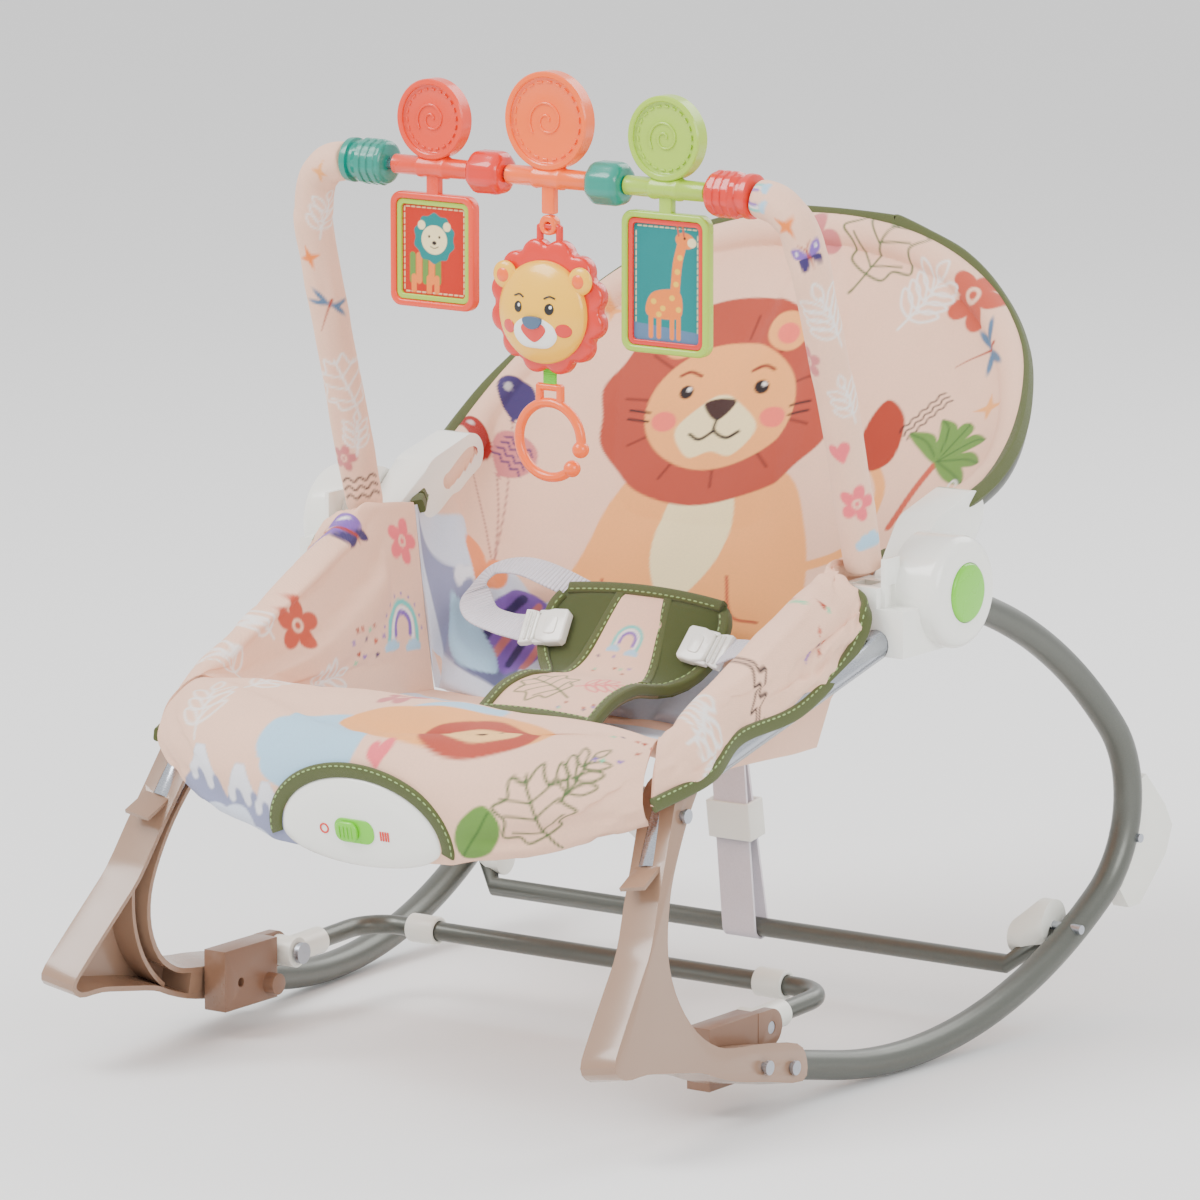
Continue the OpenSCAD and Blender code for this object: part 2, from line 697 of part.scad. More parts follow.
module toy_rod() { color("slategray") translate([0, -mid_y, 0]) bar_x(-145, 145, rod_d / 2, rod_y, rod_z); }

// Everything on the rod is drawn about the rod's axis
module on_rod(x) { translate([x, rod_y - mid_y, rod_z]) children(); }

module spinner_body(disc_r, half, stem) {
    difference() {
        union() {
            bar_x(-half, half, 6.4, 0, 0);
            translate([0, 6, disc_r + 5]) rotate([90, 0, 0]) cylinder(r = disc_r, h = 12, $fn = 72);
            translate([-5.5, -3, -stem]) cube([11, 6, stem]);
        }
        bar_x(-100, 100, rod_d / 2 + run_gap, 0, 0);
        translate([0, -4.5, disc_r + 5]) rotate([90, 0, 0]) cylinder(r = disc_r - 4, h = 4, $fn = 72);
        for (s = [-1, 1]) translate([s * (half - 13) - 6, -10, -3]) cube([12, 8, 6]);
    }
}

module card_frame(w, h) {
    translate([-w / 2, -4, -h]) difference() {
        cube([w, 8, h]);
        translate([5, -1, 5]) cube([w - 10, 4, h - 10]);
    }
}

module spinner_left() {
    color("orangered") on_rod(-90) {
        spinner_body(26, 31, 20);
        translate([0, 0, -17]) card_frame(66, 74);
    }
}

module spinner_middle() {
    color("darkorange") on_rod(0) difference() {
        union() {
            spinner_body(31.5, 32, 22);
            translate([-4.5, -3, -33]) cube([9, 6, 12]);
            bar_x(-4.5, 4.5, 6, 0, -31);
        }
        bar_x(-20, 20, 2.5 + run_gap, 0, -31);
    }
}

module spinner_right() {
    color("yellowgreen") on_rod(90) {
        spinner_body(27, 31, 18);
        translate([0, 0, -15]) card_frame(66, 90);
    }
}

module bead() {
    difference() {
        union() {
            bar_x(-12.5, 12.5, 13.5, 0, 0);
            bar_x(-9, 9, 14.5, 0, 0);
        }
        bar_x(-20, 20, rod_d / 2 + run_gap, 0, 0);
    }
}

lion_z = rod_z - 82;

module lion_mane() {
    color("red") {
        translate([0, rod_y - mid_y, lion_z]) rotate([90, 0, 0]) translate([0, 0, -6]) linear_extrude(11) union() {
            circle(r = 40);
            for (k = [0 : 11]) rotate(30 * k + 15) translate([34, 0]) circle(r = 10);
        }
        translate([0, rod_y - mid_y, 0]) {
            bar_x(-8, 8, 2.5, 0, rod_z - 31);
            for (s = [-1, 1]) translate([s * 7.5 - 2, -3, rod_z - 45]) cube([4, 6, 16.5]);
        }
    }
}

module lion_face() {
    color("gold") translate([0, rod_y - mid_y - 5, lion_z - 3]) rotate([90, 0, 0]) {
        cylinder(r = 33, h = 5);
        translate([0, 0, 5]) intersection() {
            translate([0, 0, -30]) sphere(r = 44.5, $fn = 64);
            cylinder(r = 33, h = 20);
        }
        for (s = [-1, 1]) translate([s * 29, 22, 0]) cylinder(r = 9, h = 6);
    }
}

ring_pivot_z = rod_z - 134;

module lion_ribbon() {
    color("limegreen") translate([-5, rod_y - mid_y - 1, 0]) {
        translate([0, 0, ring_pivot_z + 2.6]) cube([10, 2, 9.3]);
        translate([0, 1, ring_pivot_z]) rotate([0, 90, 0]) difference() {
            cylinder(r = 4, h = 10);
            translate([0, 0, -1]) cylinder(r = 2.5 + run_gap, h = 12);
        }
    }
}

module link_ring() {
    color("orange") translate([0, rod_y - mid_y, 0]) {
        bar_x(-9, 9, 2.5, 0, ring_pivot_z);
        for (s = [-1, 1]) translate([s * 8 - 2, -2.5, ring_pivot_z - 11]) cube([4, 5, 13]);
        translate([0, 0, ring_pivot_z - 34]) rotate([90, 0, 0]) {
            rotate([0, 0, -10]) rotate_extrude(angle = 325) translate([24, 0]) circle(r = 3.2);
            for (a = [-10, 315]) rotate([0, 0, a]) translate([24, 0]) sphere(r = 5.5);
        }
    }
}

left() rocker_tube();  // rocker_tube_left
right() rocker_tube();  // rocker_tube_right
left() front_leg();  // front_leg_left
right() front_leg();  // front_leg_right
both() kickstand_block();  // kickstand_blocks
both() leg_bolt_set();  // leg_bolts
left() seat_tube();  // seat_tube_left
right() seat_tube();  // seat_tube_right
seat_front_tube();
both() leg_bracket();  // leg_brackets
left() hub_housing();  // hub_housing_left
right() hub_housing();  // hub_housing_right
both() pivot_bolt();  // pivot_bolts
both() button_spring();  // button_springs
rear_cross_bar();
both() rear_bracket();  // rear_brackets
both() frame_screws();
both() rear_foot();  // rear_feet
both() kickstand_pin();  // kickstand_pins
seat_cover();
left() wing();  // wing_left
right() wing();  // wing_right
vibration_cover();
vibration_housing();
vibration_motor();
batteries();
battery_door();
crotch_pad();
both() waist_strap();  // waist_straps
both() buckle();  // buckles
tether_strap();
strap_adjuster();
vibration_switch();
left() release_button();  // button_left
right() release_button();  // button_right
kickstand_tube();
both() kickstand_eye();  // kickstand_eyes
both() kickstand_clip();  // kickstand_clips
backrest_tube();
left() backrest_bracket();  // backrest_bracket_left
right() backrest_bracket();  // backrest_bracket_right
backrest_cover();
left() toy_arm();  // toy_arm_left
right() toy_arm();  // toy_arm_right
left() arm_sleeve();  // arm_sleeve_left
right() arm_sleeve();  // arm_sleeve_right
color("teal") left() arm_cap();  // arm_cap_left
color("red") right() arm_cap();  // arm_cap_right
toy_rod();
spinner_left();
spinner_middle();
spinner_right();
color("red") on_rod(-46) bead();  // bead_left
color("teal") on_rod(46) bead();  // bead_right
lion_mane();
lion_face();
lion_ribbon();
link_ring();
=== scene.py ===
"""Looks of the bouncer seat: a padded printed sling on a rocking steel frame, with a bar of hanging toys."""
import math

import bmesh
import bpy
import numpy as np
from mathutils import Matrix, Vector


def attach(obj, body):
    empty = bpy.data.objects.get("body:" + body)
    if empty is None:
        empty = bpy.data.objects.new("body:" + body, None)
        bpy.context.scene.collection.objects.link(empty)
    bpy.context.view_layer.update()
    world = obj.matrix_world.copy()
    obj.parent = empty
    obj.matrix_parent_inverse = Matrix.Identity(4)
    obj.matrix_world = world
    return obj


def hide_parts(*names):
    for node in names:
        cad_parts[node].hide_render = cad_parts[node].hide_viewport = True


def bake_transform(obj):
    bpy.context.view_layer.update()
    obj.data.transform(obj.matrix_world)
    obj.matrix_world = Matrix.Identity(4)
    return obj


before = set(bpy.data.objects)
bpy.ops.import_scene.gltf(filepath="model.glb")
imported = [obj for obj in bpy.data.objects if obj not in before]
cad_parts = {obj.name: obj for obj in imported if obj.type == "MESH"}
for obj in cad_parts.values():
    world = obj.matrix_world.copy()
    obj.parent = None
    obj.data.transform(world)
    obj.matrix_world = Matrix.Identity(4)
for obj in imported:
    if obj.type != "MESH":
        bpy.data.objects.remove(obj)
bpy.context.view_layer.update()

# Lengths are in millimetres until a mesh is made. Y starts at the front toes; the frame's Y starts at MID_Y.
MM = 0.001
MID_Y = 298.0
SPLAY, SPLAY_Y, TRACK_HALF = math.radians(4.6), 165.0, 213.0
TUBE_R, THIN_R = 9.5, 6.35
HUB_Y, HUB_Z = 345.0, 306.0
ROD_Y, ROD_Z = 243.0, 562.0
RECLINE = math.radians(29)
KICK_Y, KICK_REACH = 203.0, 92.0


# ---------- numbers and curves ----------
def linear(r, g, b):
    """A colour given as 0 to 255 on screen, as linear light, made fuller for the renderer's soft tone curve."""
    c = np.array([r, g, b]) / 255
    c = np.where(c <= 0.04045, c / 12.92, ((c + 0.055) / 1.055) ** 2.4)
    full = np.clip(c.mean() + (c - c.mean()) * (1 + c.min() / (c.max() + 1e-6)), 0.003, 0.95)
    return tuple(full ** 1.2)


def smooth_step(a, b, x):
    t = np.clip((np.asarray(x, float) - a) / (b - a), 0, 1)
    return t * t * (3 - 2 * t)


def mix(a, b, t):
    return np.asarray(a, float) * (1 - t) + np.asarray(b, float) * t


def unit(v):
    v = np.asarray(v, float)
    return v / np.maximum(np.linalg.norm(v, axis=-1, keepdims=True), 1e-9)


def catmull(points, t, closed=False):
    """Catmull-Rom curve through rows of numbers, at t counted in rows."""
    p = np.asarray(points, float)
    m = len(p)
    t = np.asarray(t, float)
    i = np.floor(t).astype(int) if closed else np.clip(np.floor(t).astype(int), 0, m - 2)
    f = (t - i)[..., None]
    if closed:
        a, b, c, d = (p[(i + k) % m] for k in (-1, 0, 1, 2))
    else:
        ends = np.vstack([2 * p[0] - p[1], p, 2 * p[-1] - p[-2]])
        a, b, c, d = (ends[i + k] for k in range(4))
    return 0.5 * (2 * b + (c - a) * f + (2 * a - 5 * b + 4 * c - d) * f ** 2 + (3 * b - a - 3 * c + d) * f ** 3)


def arc_lengths(points):
    return np.concatenate([[0], np.cumsum(np.linalg.norm(np.diff(points, axis=0), axis=1))])


def curve(points, step, closed=False):
    """Points along a smooth curve, about step apart."""
    p = np.asarray(points, float)
    spans = len(p) if closed else len(p) - 1
    fine = catmull(p, np.linspace(0, spans, 24 * spans + 1), closed)
    length = arc_lengths(fine)
    n = max(int(round(length[-1] / step)), 2)
    at = np.linspace(0, length[-1], n + 1)[:n if closed else n + 1]
    return np.column_stack([np.interp(at, length, fine[:, k]) for k in range(p.shape[1])])


def rounded_path(corners, radius, n=10):
    """A bent tube's middle line: straight runs joined by arcs of one bend radius."""
    p = np.asarray(corners, float)
    out = [p[0]]
    for a, b, c in zip(p[:-2], p[1:-1], p[2:]):
        back, ahead = unit(a - b), unit(c - b)
        half = math.acos(np.clip(back @ ahead, -1, 1)) / 2
        middle = b + unit(back + ahead) * radius / math.sin(half)
        start = b + back * radius / math.tan(half)
        spoke, side = start - middle, unit(b - start) * radius
        turn = math.pi - 2 * half
        out += [middle + spoke * math.cos(w) + side * math.sin(w) for w in np.linspace(0, turn, n)]
    return np.array(out + [p[-1]])


def walk(runs, start, heading):
    """A tube in its own plane: each run is straight length, bend radius and bend angle in degrees."""
    p, a, out = np.array(start, float), math.radians(heading), [np.array(start, float)]
    for straight, radius, turn in runs:
        p = p + straight * np.array([math.cos(a), math.sin(a)])
        n = max(int(radius * math.radians(turn) / 6), 1)
        for k in range(1 if straight <= 0 else 0, n + 1):
            b = a + math.radians(turn) * k / n
            q = p + radius * np.array([math.sin(b) - math.sin(a), math.cos(a) - math.cos(b)])
            out.append(q)
        p, a = out[-1], a + math.radians(turn)
    return np.array(out)


def splayed(path):
    """A path seen from the side, moved into the plane of the right rocker tube."""
    d = path[:, 0] - SPLAY_Y
    return np.column_stack([TRACK_HALF + d * math.sin(SPLAY), SPLAY_Y + d * math.cos(SPLAY), path[:, 1]])


def noise2(x, y, seed=0):
    """Smooth noise from -1 to 1 over a plane."""
    xi, yi = np.floor(x).astype(int), np.floor(y).astype(int)
    fx, fy = x - xi, y - yi
    fx, fy = fx * fx * (3 - 2 * fx), fy * fy * (3 - 2 * fy)

    def corner(i, j):
        h = (xi + i) * 374761393 + (yi + j) * 668265263 + seed * 974711
        h = (h ^ (h >> 13)) * 1274126177 & 0x7FFFFFFF
        return (h ^ (h >> 16)) % 65536 / 32768 - 1

    low = corner(0, 0) * (1 - fx) + corner(1, 0) * fx
    high = corner(0, 1) * (1 - fx) + corner(1, 1) * fx
    return low * (1 - fy) + high * fy


# ---------- fabric surfaces ----------
# Rows of the seat panel: middle y, middle z, edge x, edge y, edge z, how late the edges fall
SEAT_ROWS = [(49, 163, 184, 86, 193, 2), (37, 180, 187, 78, 199, 2.6), (40, 208, 187, 75, 212, 4),
             (62, 232, 183, 85, 231, 5), (101, 246, 176, 110, 242, 6), (150, 235, 174, 150, 218, 4),
             (210, 215, 162, 215, 211, 2.2), (270, 201, 154, 275, 206, 2.2), (322, 198, 149, 322, 203, 2.2)]
# Rows of the backrest: edge y, edge z, middle y, middle z, half width, fullness
BACK_ROWS = [(350, 319, 331, 204, 178, 5), (376, 334, 368, 236, 197, 4.5), (410, 350, 408, 277, 207, 4),
             (440, 364, 444, 318, 211, 3.5), (470, 383, 477, 358, 208, 3), (500, 406, 506, 396, 196, 2.8),
             (528, 431, 532, 430, 177, 2.4), (550, 457, 553, 460, 148, 2.2), (567, 482, 569, 485, 107, 2),
             (577, 500, 578, 501, 50, 2)]


def even_rows(rows, columns, v):
    """Rows interpolated at shares v of the length along the middle line."""
    fine_t = np.linspace(0, len(rows) - 1, 40 * len(rows))
    fine = catmull(rows, fine_t)
    length = arc_lengths(fine[:, list(columns)])
    t = np.interp(np.asarray(v) * length[-1], length, fine_t)
    return catmull(rows, t), length[-1]


def seat_surface(u, v):
    """Seat panel: u from -1 to 1 across, v from 0 at the front hem to 1 at the rear."""
    q, _ = even_rows(SEAT_ROWS, (0, 1), v)
    f = np.abs(u) ** q[..., 5]
    return np.stack([q[..., 2] * u, mix(q[..., 0], q[..., 3], f), mix(q[..., 1], q[..., 4], f)], -1)


def back_surface(u, v):
    """Backrest panel: u from -1 to 1 across, v from 0 at the bottom to 1 at the top."""
    q, _ = even_rows(BACK_ROWS, (2, 3), v)
    f = 1 - np.abs(u) ** q[..., 5]
    return np.stack([q[..., 4] * u, mix(q[..., 0], q[..., 2], f), mix(q[..., 1], q[..., 3], f)], -1)


# Sections of the right wing from the front crease to the backrest: fold, rise, crest, two points outside, hem
WING_ROWS = np.array([
    [(174, 111, 243), (176, 109, 244), (179, 103, 243), (184, 94, 237), (189, 86, 226), (192, 80, 207)],
    [(175, 132, 228), (176, 131, 240), (181, 128, 251), (190, 127, 249), (198, 127, 236), (202, 127, 219)],
    [(172, 160, 215), (174, 160, 240), (181, 159, 266), (191, 159, 262), (198, 160, 250), (201, 161, 237)],
    [(161, 215, 210), (168, 215, 250), (180, 213, 288), (194, 213, 284), (205, 214, 266), (210, 215, 247)],
    [(154.5, 265, 206), (164, 265, 258), (180, 262, 310), (196, 263, 308), (210, 265, 293), (215, 266,
        276)],
    [(152, 290, 204), (164, 287, 262), (181, 283, 319), (194, 282, 321), (206, 283, 315), (213, 284, 302)],
    [(150.5, 306, 203.5), (163, 304, 264), (179, 298, 323), (182, 293, 325), (184, 291, 322), (184.5, 290,
        315)],
    [(149, 322, 203), (163, 330, 260), (178, 341, 317), (180.5, 341, 319), (181.5, 340, 316), (181.5, 339,
        311)]])
WING_S, WING_T = (0, 0.09, 0.22, 0.47, 0.7, 0.79, 0.86, 1), (0, 0.3, 0.6, 0.72, 0.86, 1)


def wing_surface(s, t):
    """Right wing: s from 0 at the front crease to 1 at the backrest, t from 0 at the seat's fold to 1 at the
    outer hem, with the crest at 0.6."""
    s, t = np.broadcast_arrays(np.asarray(s, float), np.asarray(t, float))
    rows = np.stack([catmull(WING_ROWS[:, k], np.interp(s, WING_S, np.arange(8))) for k in range(6)], -2)
    at = np.interp(t, WING_T, np.arange(6))
    i = np.clip(np.floor(at).astype(int), 0, 4)
    f = (at - i)[..., None]
    ends = np.concatenate([2 * rows[..., :1, :] - rows[..., 1:2, :], rows, 2 * rows[..., -1:, :] - rows[...,
        -2:-1, :]], -2)
    a, b, c, d = (np.take_along_axis(ends, (i + k)[..., None, None], -2)[..., 0, :] for k in range(4))
    return 0.5 * (2 * b + (c - a) * f + (2 * a - 5 * b + 4 * c - d) * f ** 2 + (3 * b - a - 3 * c + d) * f ** 3)


def back_panel(u, v):
    """The backrest panel with its lower edge drawn down to the seat's rear edge and the wings' seams."""
    plain = back_surface(u, v)
    side = np.sign(u) + (u == 0)
    a = np.abs(u)
    corner = 0.82
    across = seat_surface(np.clip(a / corner, 0, 1), np.ones_like(a))
    seam = wing_surface(np.ones_like(a), np.clip((a - corner) / (1 - corner), 0, 1) * 0.6)
    foot = np.where((a < corner)[..., None], across, seam) * np.stack([side, np.ones_like(a),
        np.ones_like(a)], -1)
    return mix(foot, plain, smooth_step(-0.02, 0.16, v)[..., None])


def cloth_places(grid):
    """Lengths in mm along a grid's columns from its first row, as the cloth's own second direction."""
    steps = np.linalg.norm(np.diff(grid, axis=0), axis=2)
    return np.vstack([np.zeros((1, grid.shape[1])), np.cumsum(steps, axis=0)])


SEAT_GRID, BACK_GRID, WING_GRID = (289, 265), (321, 289), (137, 193)


def seat_grid():
    v, u = np.meshgrid(np.linspace(0, 1, SEAT_GRID[0]), np.linspace(-1, 1, SEAT_GRID[1]), indexing="ij")
    p = seat_surface(u, v)
    along = cloth_places(p)[:, SEAT_GRID[1] // 2]
    return p, np.stack([p[..., 0], np.broadcast_to(along[:, None], u.shape)], -1), u, v


def back_grid():
    v, u = np.meshgrid(np.linspace(0, 1, BACK_GRID[0]), np.linspace(-1, 1, BACK_GRID[1]), indexing="ij")
    p = back_panel(u, v)
    along = cloth_places(p)[:, BACK_GRID[1] // 2]
    return p, np.stack([p[..., 0], np.broadcast_to(along[:, None], u.shape)], -1), u, v


def wing_grid():
    t, s = np.meshgrid(np.linspace(0, 1, WING_GRID[0]), np.linspace(0, 1, WING_GRID[1]), indexing="ij")
    p = wing_surface(s, t)
    return p, np.stack([p[..., 1], cloth_places(p)], -1), s, t


# ---------- meshes ----------
def place(points):
    """Millimetres seen from the toes to metres in the frame."""
    return (np.asarray(points, float) - [0, MID_Y, 0]) * MM


def mirrored(points, side):
    return np.asarray(points, float) * [side, 1, 1]


def piece(name, points, faces, body, slot, material, replaces=(), sharp=None, uv=None):
    """A mesh piece from millimetre points; uv is one pair of metres for each point."""
    mesh = bpy.data.meshes.new(name)
    mesh.from_pydata(place(points).tolist(), [], faces)
    mesh.update()
    if uv is not None:
        corners = np.zeros(len(mesh.loops), int)
        mesh.loops.foreach_get("vertex_index", corners)
        layer = mesh.uv_layers.new(name="cloth")
        layer.data.foreach_set("uv", (np.asarray(uv)[corners] * MM).astype(np.float32).ravel())
    return finish_piece(bpy.data.objects.new(name, mesh), body, slot, material, replaces, sharp)


def finish_piece(obj, body, slot, material, replaces=(), sharp=None):
    if obj.name not in bpy.context.scene.collection.objects:
        bpy.context.scene.collection.objects.link(obj)
    for polygon in obj.data.polygons:
        polygon.use_smooth = True
    if sharp:
        obj.data.set_sharp_from_angle(angle=math.radians(sharp))
    obj.data.materials.clear()
    obj.data.materials.append(material)
    if body:
        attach(obj, body)
    if replaces:
        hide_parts(*replaces)
    return obj


def paint(obj, colours):
    """Writes one linear colour for each point of a piece."""
    layer = obj.data.color_attributes.new(name="print", type="FLOAT_COLOR", domain="POINT")
    layer.data.foreach_set("color", np.column_stack([colours,
                                                     np.ones(len(colours))]).astype(np.float32).ravel())


def frames(path, up):
    """Tangent, side and normal at each point of a path, with the normal near up."""
    t = unit(np.gradient(path, axis=0))
    up = np.broadcast_to(np.asarray(up, float), path.shape)
    side = unit(np.cross(t, up))
    return t, side, np.cross(side, t)


def carried_frames(path):
    """Frames that turn as little as they can along a bent tube."""
    t = unit(np.gradient(path, axis=0))
    n = np.cross(t[0], [0, 0, 1]) if abs(t[0][2]) < 0.9 else np.cross(t[0], [0, 1, 0])
    out = []
    for d in t:
        n = unit(n - d * (n @ d))
        out.append(n)
    n = np.array(out)
    return t, n, np.cross(t, n)


def swept(path, outline, side, normal):
    """Points and faces of an outline (side, normal) carried along a path."""
    outline = np.asarray(outline, float)
    m, n = len(path), len(outline)
    points = path[:, None] + outline[:, :1] * side[:, None] + outline[:, 1:] * normal[:, None]
    return points.reshape(-1, 3), ring_faces(m, n) + end_caps(m, n)


def circle(r, n):
    a = np.linspace(0, 2 * math.pi, n, endpoint=False)
    return np.column_stack([r * np.cos(a), r * np.sin(a)])


def rounded_rect(w, h, r, n=4):
    """Outline of a rectangle w by h with round corners of radius r."""
    out = []
    for k, (sx, sy) in enumerate(((1, 1), (-1, 1), (-1, -1), (1, -1))):
        for a in np.linspace(0, math.pi / 2, n) + k * math.pi / 2:
            out.append((sx * (w / 2 - r) + r * math.cos(a), sy * (h / 2 - r) + r * math.sin(a)))
    return np.array(out)


def ring_faces(rings, n, closed=False):
    """Faces between neighbouring rings of n points each."""
    return [(i * n + k, i * n + (k + 1) % n, (i + 1) % rings * n + (k + 1) % n, (i + 1) % rings * n + k)
            for i in range(rings if closed else rings - 1) for k in range(n)]


def end_caps(rings, n):
    """One face on the first ring and one on the last."""
    return [tuple(reversed(range(n))), tuple(range((rings - 1) * n, rings * n))]


def tube(name, path, r, body, slot, material, replaces=(), sides=36, side=1):
    """A round bent tube."""
    path = mirrored(path, side)
    _, u, v = carried_frames(path)
    return piece(name, *swept(path, circle(r, sides), u, v), body, slot, material, replaces, sharp=40)


def grid_faces(rows, columns, offset=0):
    k = np.arange(rows * columns).reshape(rows, columns) + offset
    return np.stack([k[:-1, :-1], k[1:, :-1], k[1:, 1:], k[:-1, 1:]], -1).reshape(-1, 4)


def padded_sheet(name, top, under, body, slot, replaces, uv):
    """A closed pad: a fine top grid and a coarse under grid with the same corners, joined round the edge.
    The top's rows and columns are each a whole number of steps of the under grid's."""
    m, n = top.shape[:2]
    a, b = under.shape[:2]
    step_r, step_c = (m - 1) // (a - 1), (n - 1) // (b - 1)
    low = m * n
    faces = grid_faces(m, n).tolist() + grid_faces(a, b, low)[:, ::-1].tolist()
    fine = np.arange(m * n).reshape(m, n)
    coarse = np.arange(a * b).reshape(a, b) + low
    edges = [(fine[:, 0], coarse[:, 0], step_r, False), (fine[-1, :], coarse[-1, :], step_c, False),
             (fine[:, -1], coarse[:, -1], step_r, True), (fine[0, :], coarse[0, :], step_c, True)]
    for line, base, step, turned in edges:
        for k in range(len(base) - 1):
            face = [*line[k * step:(k + 1) * step + 1][::-1], base[k], base[k + 1]]
            faces.append(face[::-1] if turned else face)
    points = np.vstack([top.reshape(-1, 3), under.reshape(-1, 3)])
    uv = np.vstack([uv.reshape(-1, 2), uv[::step_r, ::step_c].reshape(-1, 2)])
    return piece(name, points, faces, body, slot, PRINT, replaces, uv=uv, sharp=60)


def surface_normals(grid):
    n = np.cross(np.gradient(grid, axis=0), np.gradient(grid, axis=1))
    return unit(n)


def strap_map(path, w, h, r):
    """The cloth map of a swept strap: along it and across it."""
    outline = rounded_rect(w, h, r)
    return np.column_stack([np.repeat(arc_lengths(path), len(outline)), np.tile(outline[:, 0], len(path))])


def ribbon(name, path, up, w, h, body, slot, material, replaces=()):
    """A strap with its flat side towards up."""
    path = np.asarray(path, float)
    _, side, normal = frames(path, up)
    r = min(w, h) * 0.45
    points, faces = swept(path, rounded_rect(w, h, r), side, normal)
    return piece(name, points, faces, body, slot, material, replaces, uv=strap_map(path, w, h, r), sharp=60)


def soften(node, width, body, slot, material, segments=3, angle=35):
    """A moulded piece with the CAD node's shape and rounded edges."""
    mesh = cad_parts[node].data.copy()
    bm = bmesh.new()
    bm.from_mesh(mesh)
    bmesh.ops.remove_doubles(bm, verts=bm.verts, dist=1e-5)
    bmesh.ops.dissolve_limit(bm, angle_limit=math.radians(0.8), verts=bm.verts, edges=bm.edges)
    bm.to_mesh(mesh)
    bm.free()
    mesh.materials.clear()
    obj = bpy.data.objects.new(node + "_moulded", mesh)
    bpy.context.scene.collection.objects.link(obj)
    bevel = obj.modifiers.new("edges", "BEVEL")
    bevel.width, bevel.segments, bevel.limit_method = width * MM, segments, "ANGLE"
    bevel.angle_limit, bevel.use_clamp_overlap = math.radians(angle), True
    bevel.miter_outer = "MITER_ARC"
    bake_modifiers(obj)
    return finish_piece(obj, body, slot, material, (node,), sharp=35)


def bake_modifiers(obj):
    bpy.context.view_layer.update()
    done = bpy.data.meshes.new_from_object(obj.evaluated_get(bpy.context.evaluated_depsgraph_get()))
    obj.modifiers.clear()
    obj.data = done
    return obj


def joined(*parts):
    """Points and faces of several shapes as one."""
    points, faces, at = [], [], 0
    for p, f in parts:
        points.append(np.asarray(p, float))
        faces += [tuple(int(k) + at for k in face) for face in f]
        at += len(p)
    return np.vstack(points), faces


def lathe(profile, centre, n=48):
    """A shape turned about X: profile is (along X, radius); a radius of 0 closes it."""
    axis = unit([1, 0, 0])
    u = unit(np.cross(axis, [0, 0, 1]))
    v = np.cross(axis, u)
    points, faces, rings = [], [], []
    for h, r in profile:
        if r < 1e-6:
            rings.append([len(points)])
            points.append(np.asarray(centre) + axis * h)
        else:
            rings.append(list(range(len(points), len(points) + n)))
            points += [np.asarray(centre) + axis * h + r * (math.cos(a) * u + math.sin(a) * v)
                       for a in np.linspace(0, 2 * math.pi, n, endpoint=False)]
    for a, b in zip(rings, rings[1:]):
        for k in range(n):
            p, q = a[k % len(a)], a[(k + 1) % len(a)]
            r, s = b[k % len(b)], b[(k + 1) % len(b)]
            faces.append(tuple(dict.fromkeys([p, q, s, r])))
    return np.array(points), [f for f in faces if len(f) > 2]


def ellipsoid(centre, radii, n=32, rings=16):
    """A smooth ball, flattened by its three radii."""
    points = [(0, 0, -1)]
    for i in range(1, rings):
        lat = -math.pi / 2 + math.pi * i / rings
        points += [(math.cos(lat) * math.cos(a), math.cos(lat) * math.sin(a), math.sin(lat))
                   for a in np.linspace(0, 2 * math.pi, n, endpoint=False)]
    points.append((0, 0, 1))
    p = np.array(points) * radii
    faces = [(0, 1 + (k + 1) % n, 1 + k) for k in range(n)]
    for i in range(rings - 2):
        a, b = 1 + i * n, 1 + (i + 1) * n
        faces += [(a + k, a + (k + 1) % n, b + (k + 1) % n, b + k) for k in range(n)]
    last, top = 1 + (rings - 2) * n, len(p) - 1
    faces += [(last + k, last + (k + 1) % n, top) for k in range(n)]
    return p + np.asarray(centre), faces


def inset_rings(outline, thickness, edge, rising, steps=3):
    """Rings over a plate's rounded rim; rising goes from the low face to the high one."""
    outline = np.asarray(outline, float)
    t = unit(np.roll(outline, -1, 0) - np.roll(outline, 1, 0))
    inward = np.column_stack([-t[:, 1], t[:, 0]])
    nxt = np.roll(outline, -1, 0)
    if (outline[:, 0] * nxt[:, 1] - outline[:, 1] * nxt[:, 0]).sum() < 0:
        inward = -inward
    inward = inward if rising else -inward
    out = []
    for a in np.linspace(0, math.pi / 2, steps + 1):
        out.append((edge * (1 - math.sin(a)), edge * (1 - math.cos(a))))
    for a in np.linspace(math.pi / 2, 0, steps + 1):
        out.append((edge * (1 - math.sin(a)), thickness - edge * (1 - math.cos(a))))
    out = out if rising else out[::-1]
    return [np.column_stack([outline + inward * d, np.full(len(outline), h)]) for d, h in out]


def plate(outline, thickness, place_point, edge=1.0, inner=None):
    """A flat plate with rounded edges: place_point(x, y, out) gives each point's place. inner is a hole's outline
    with as many points."""
    rings = inset_rings(outline, thickness, edge, True)
    if inner is not None:
        rings += inset_rings(inner, thickness, edge, False)
    m, n = len(rings), len(outline)
    faces = ring_faces(m, n, inner is not None) + ([] if inner is not None else end_caps(m, n))
    p = np.vstack(rings)
    return place_point(p[:, 0], p[:, 1], p[:, 2]), faces


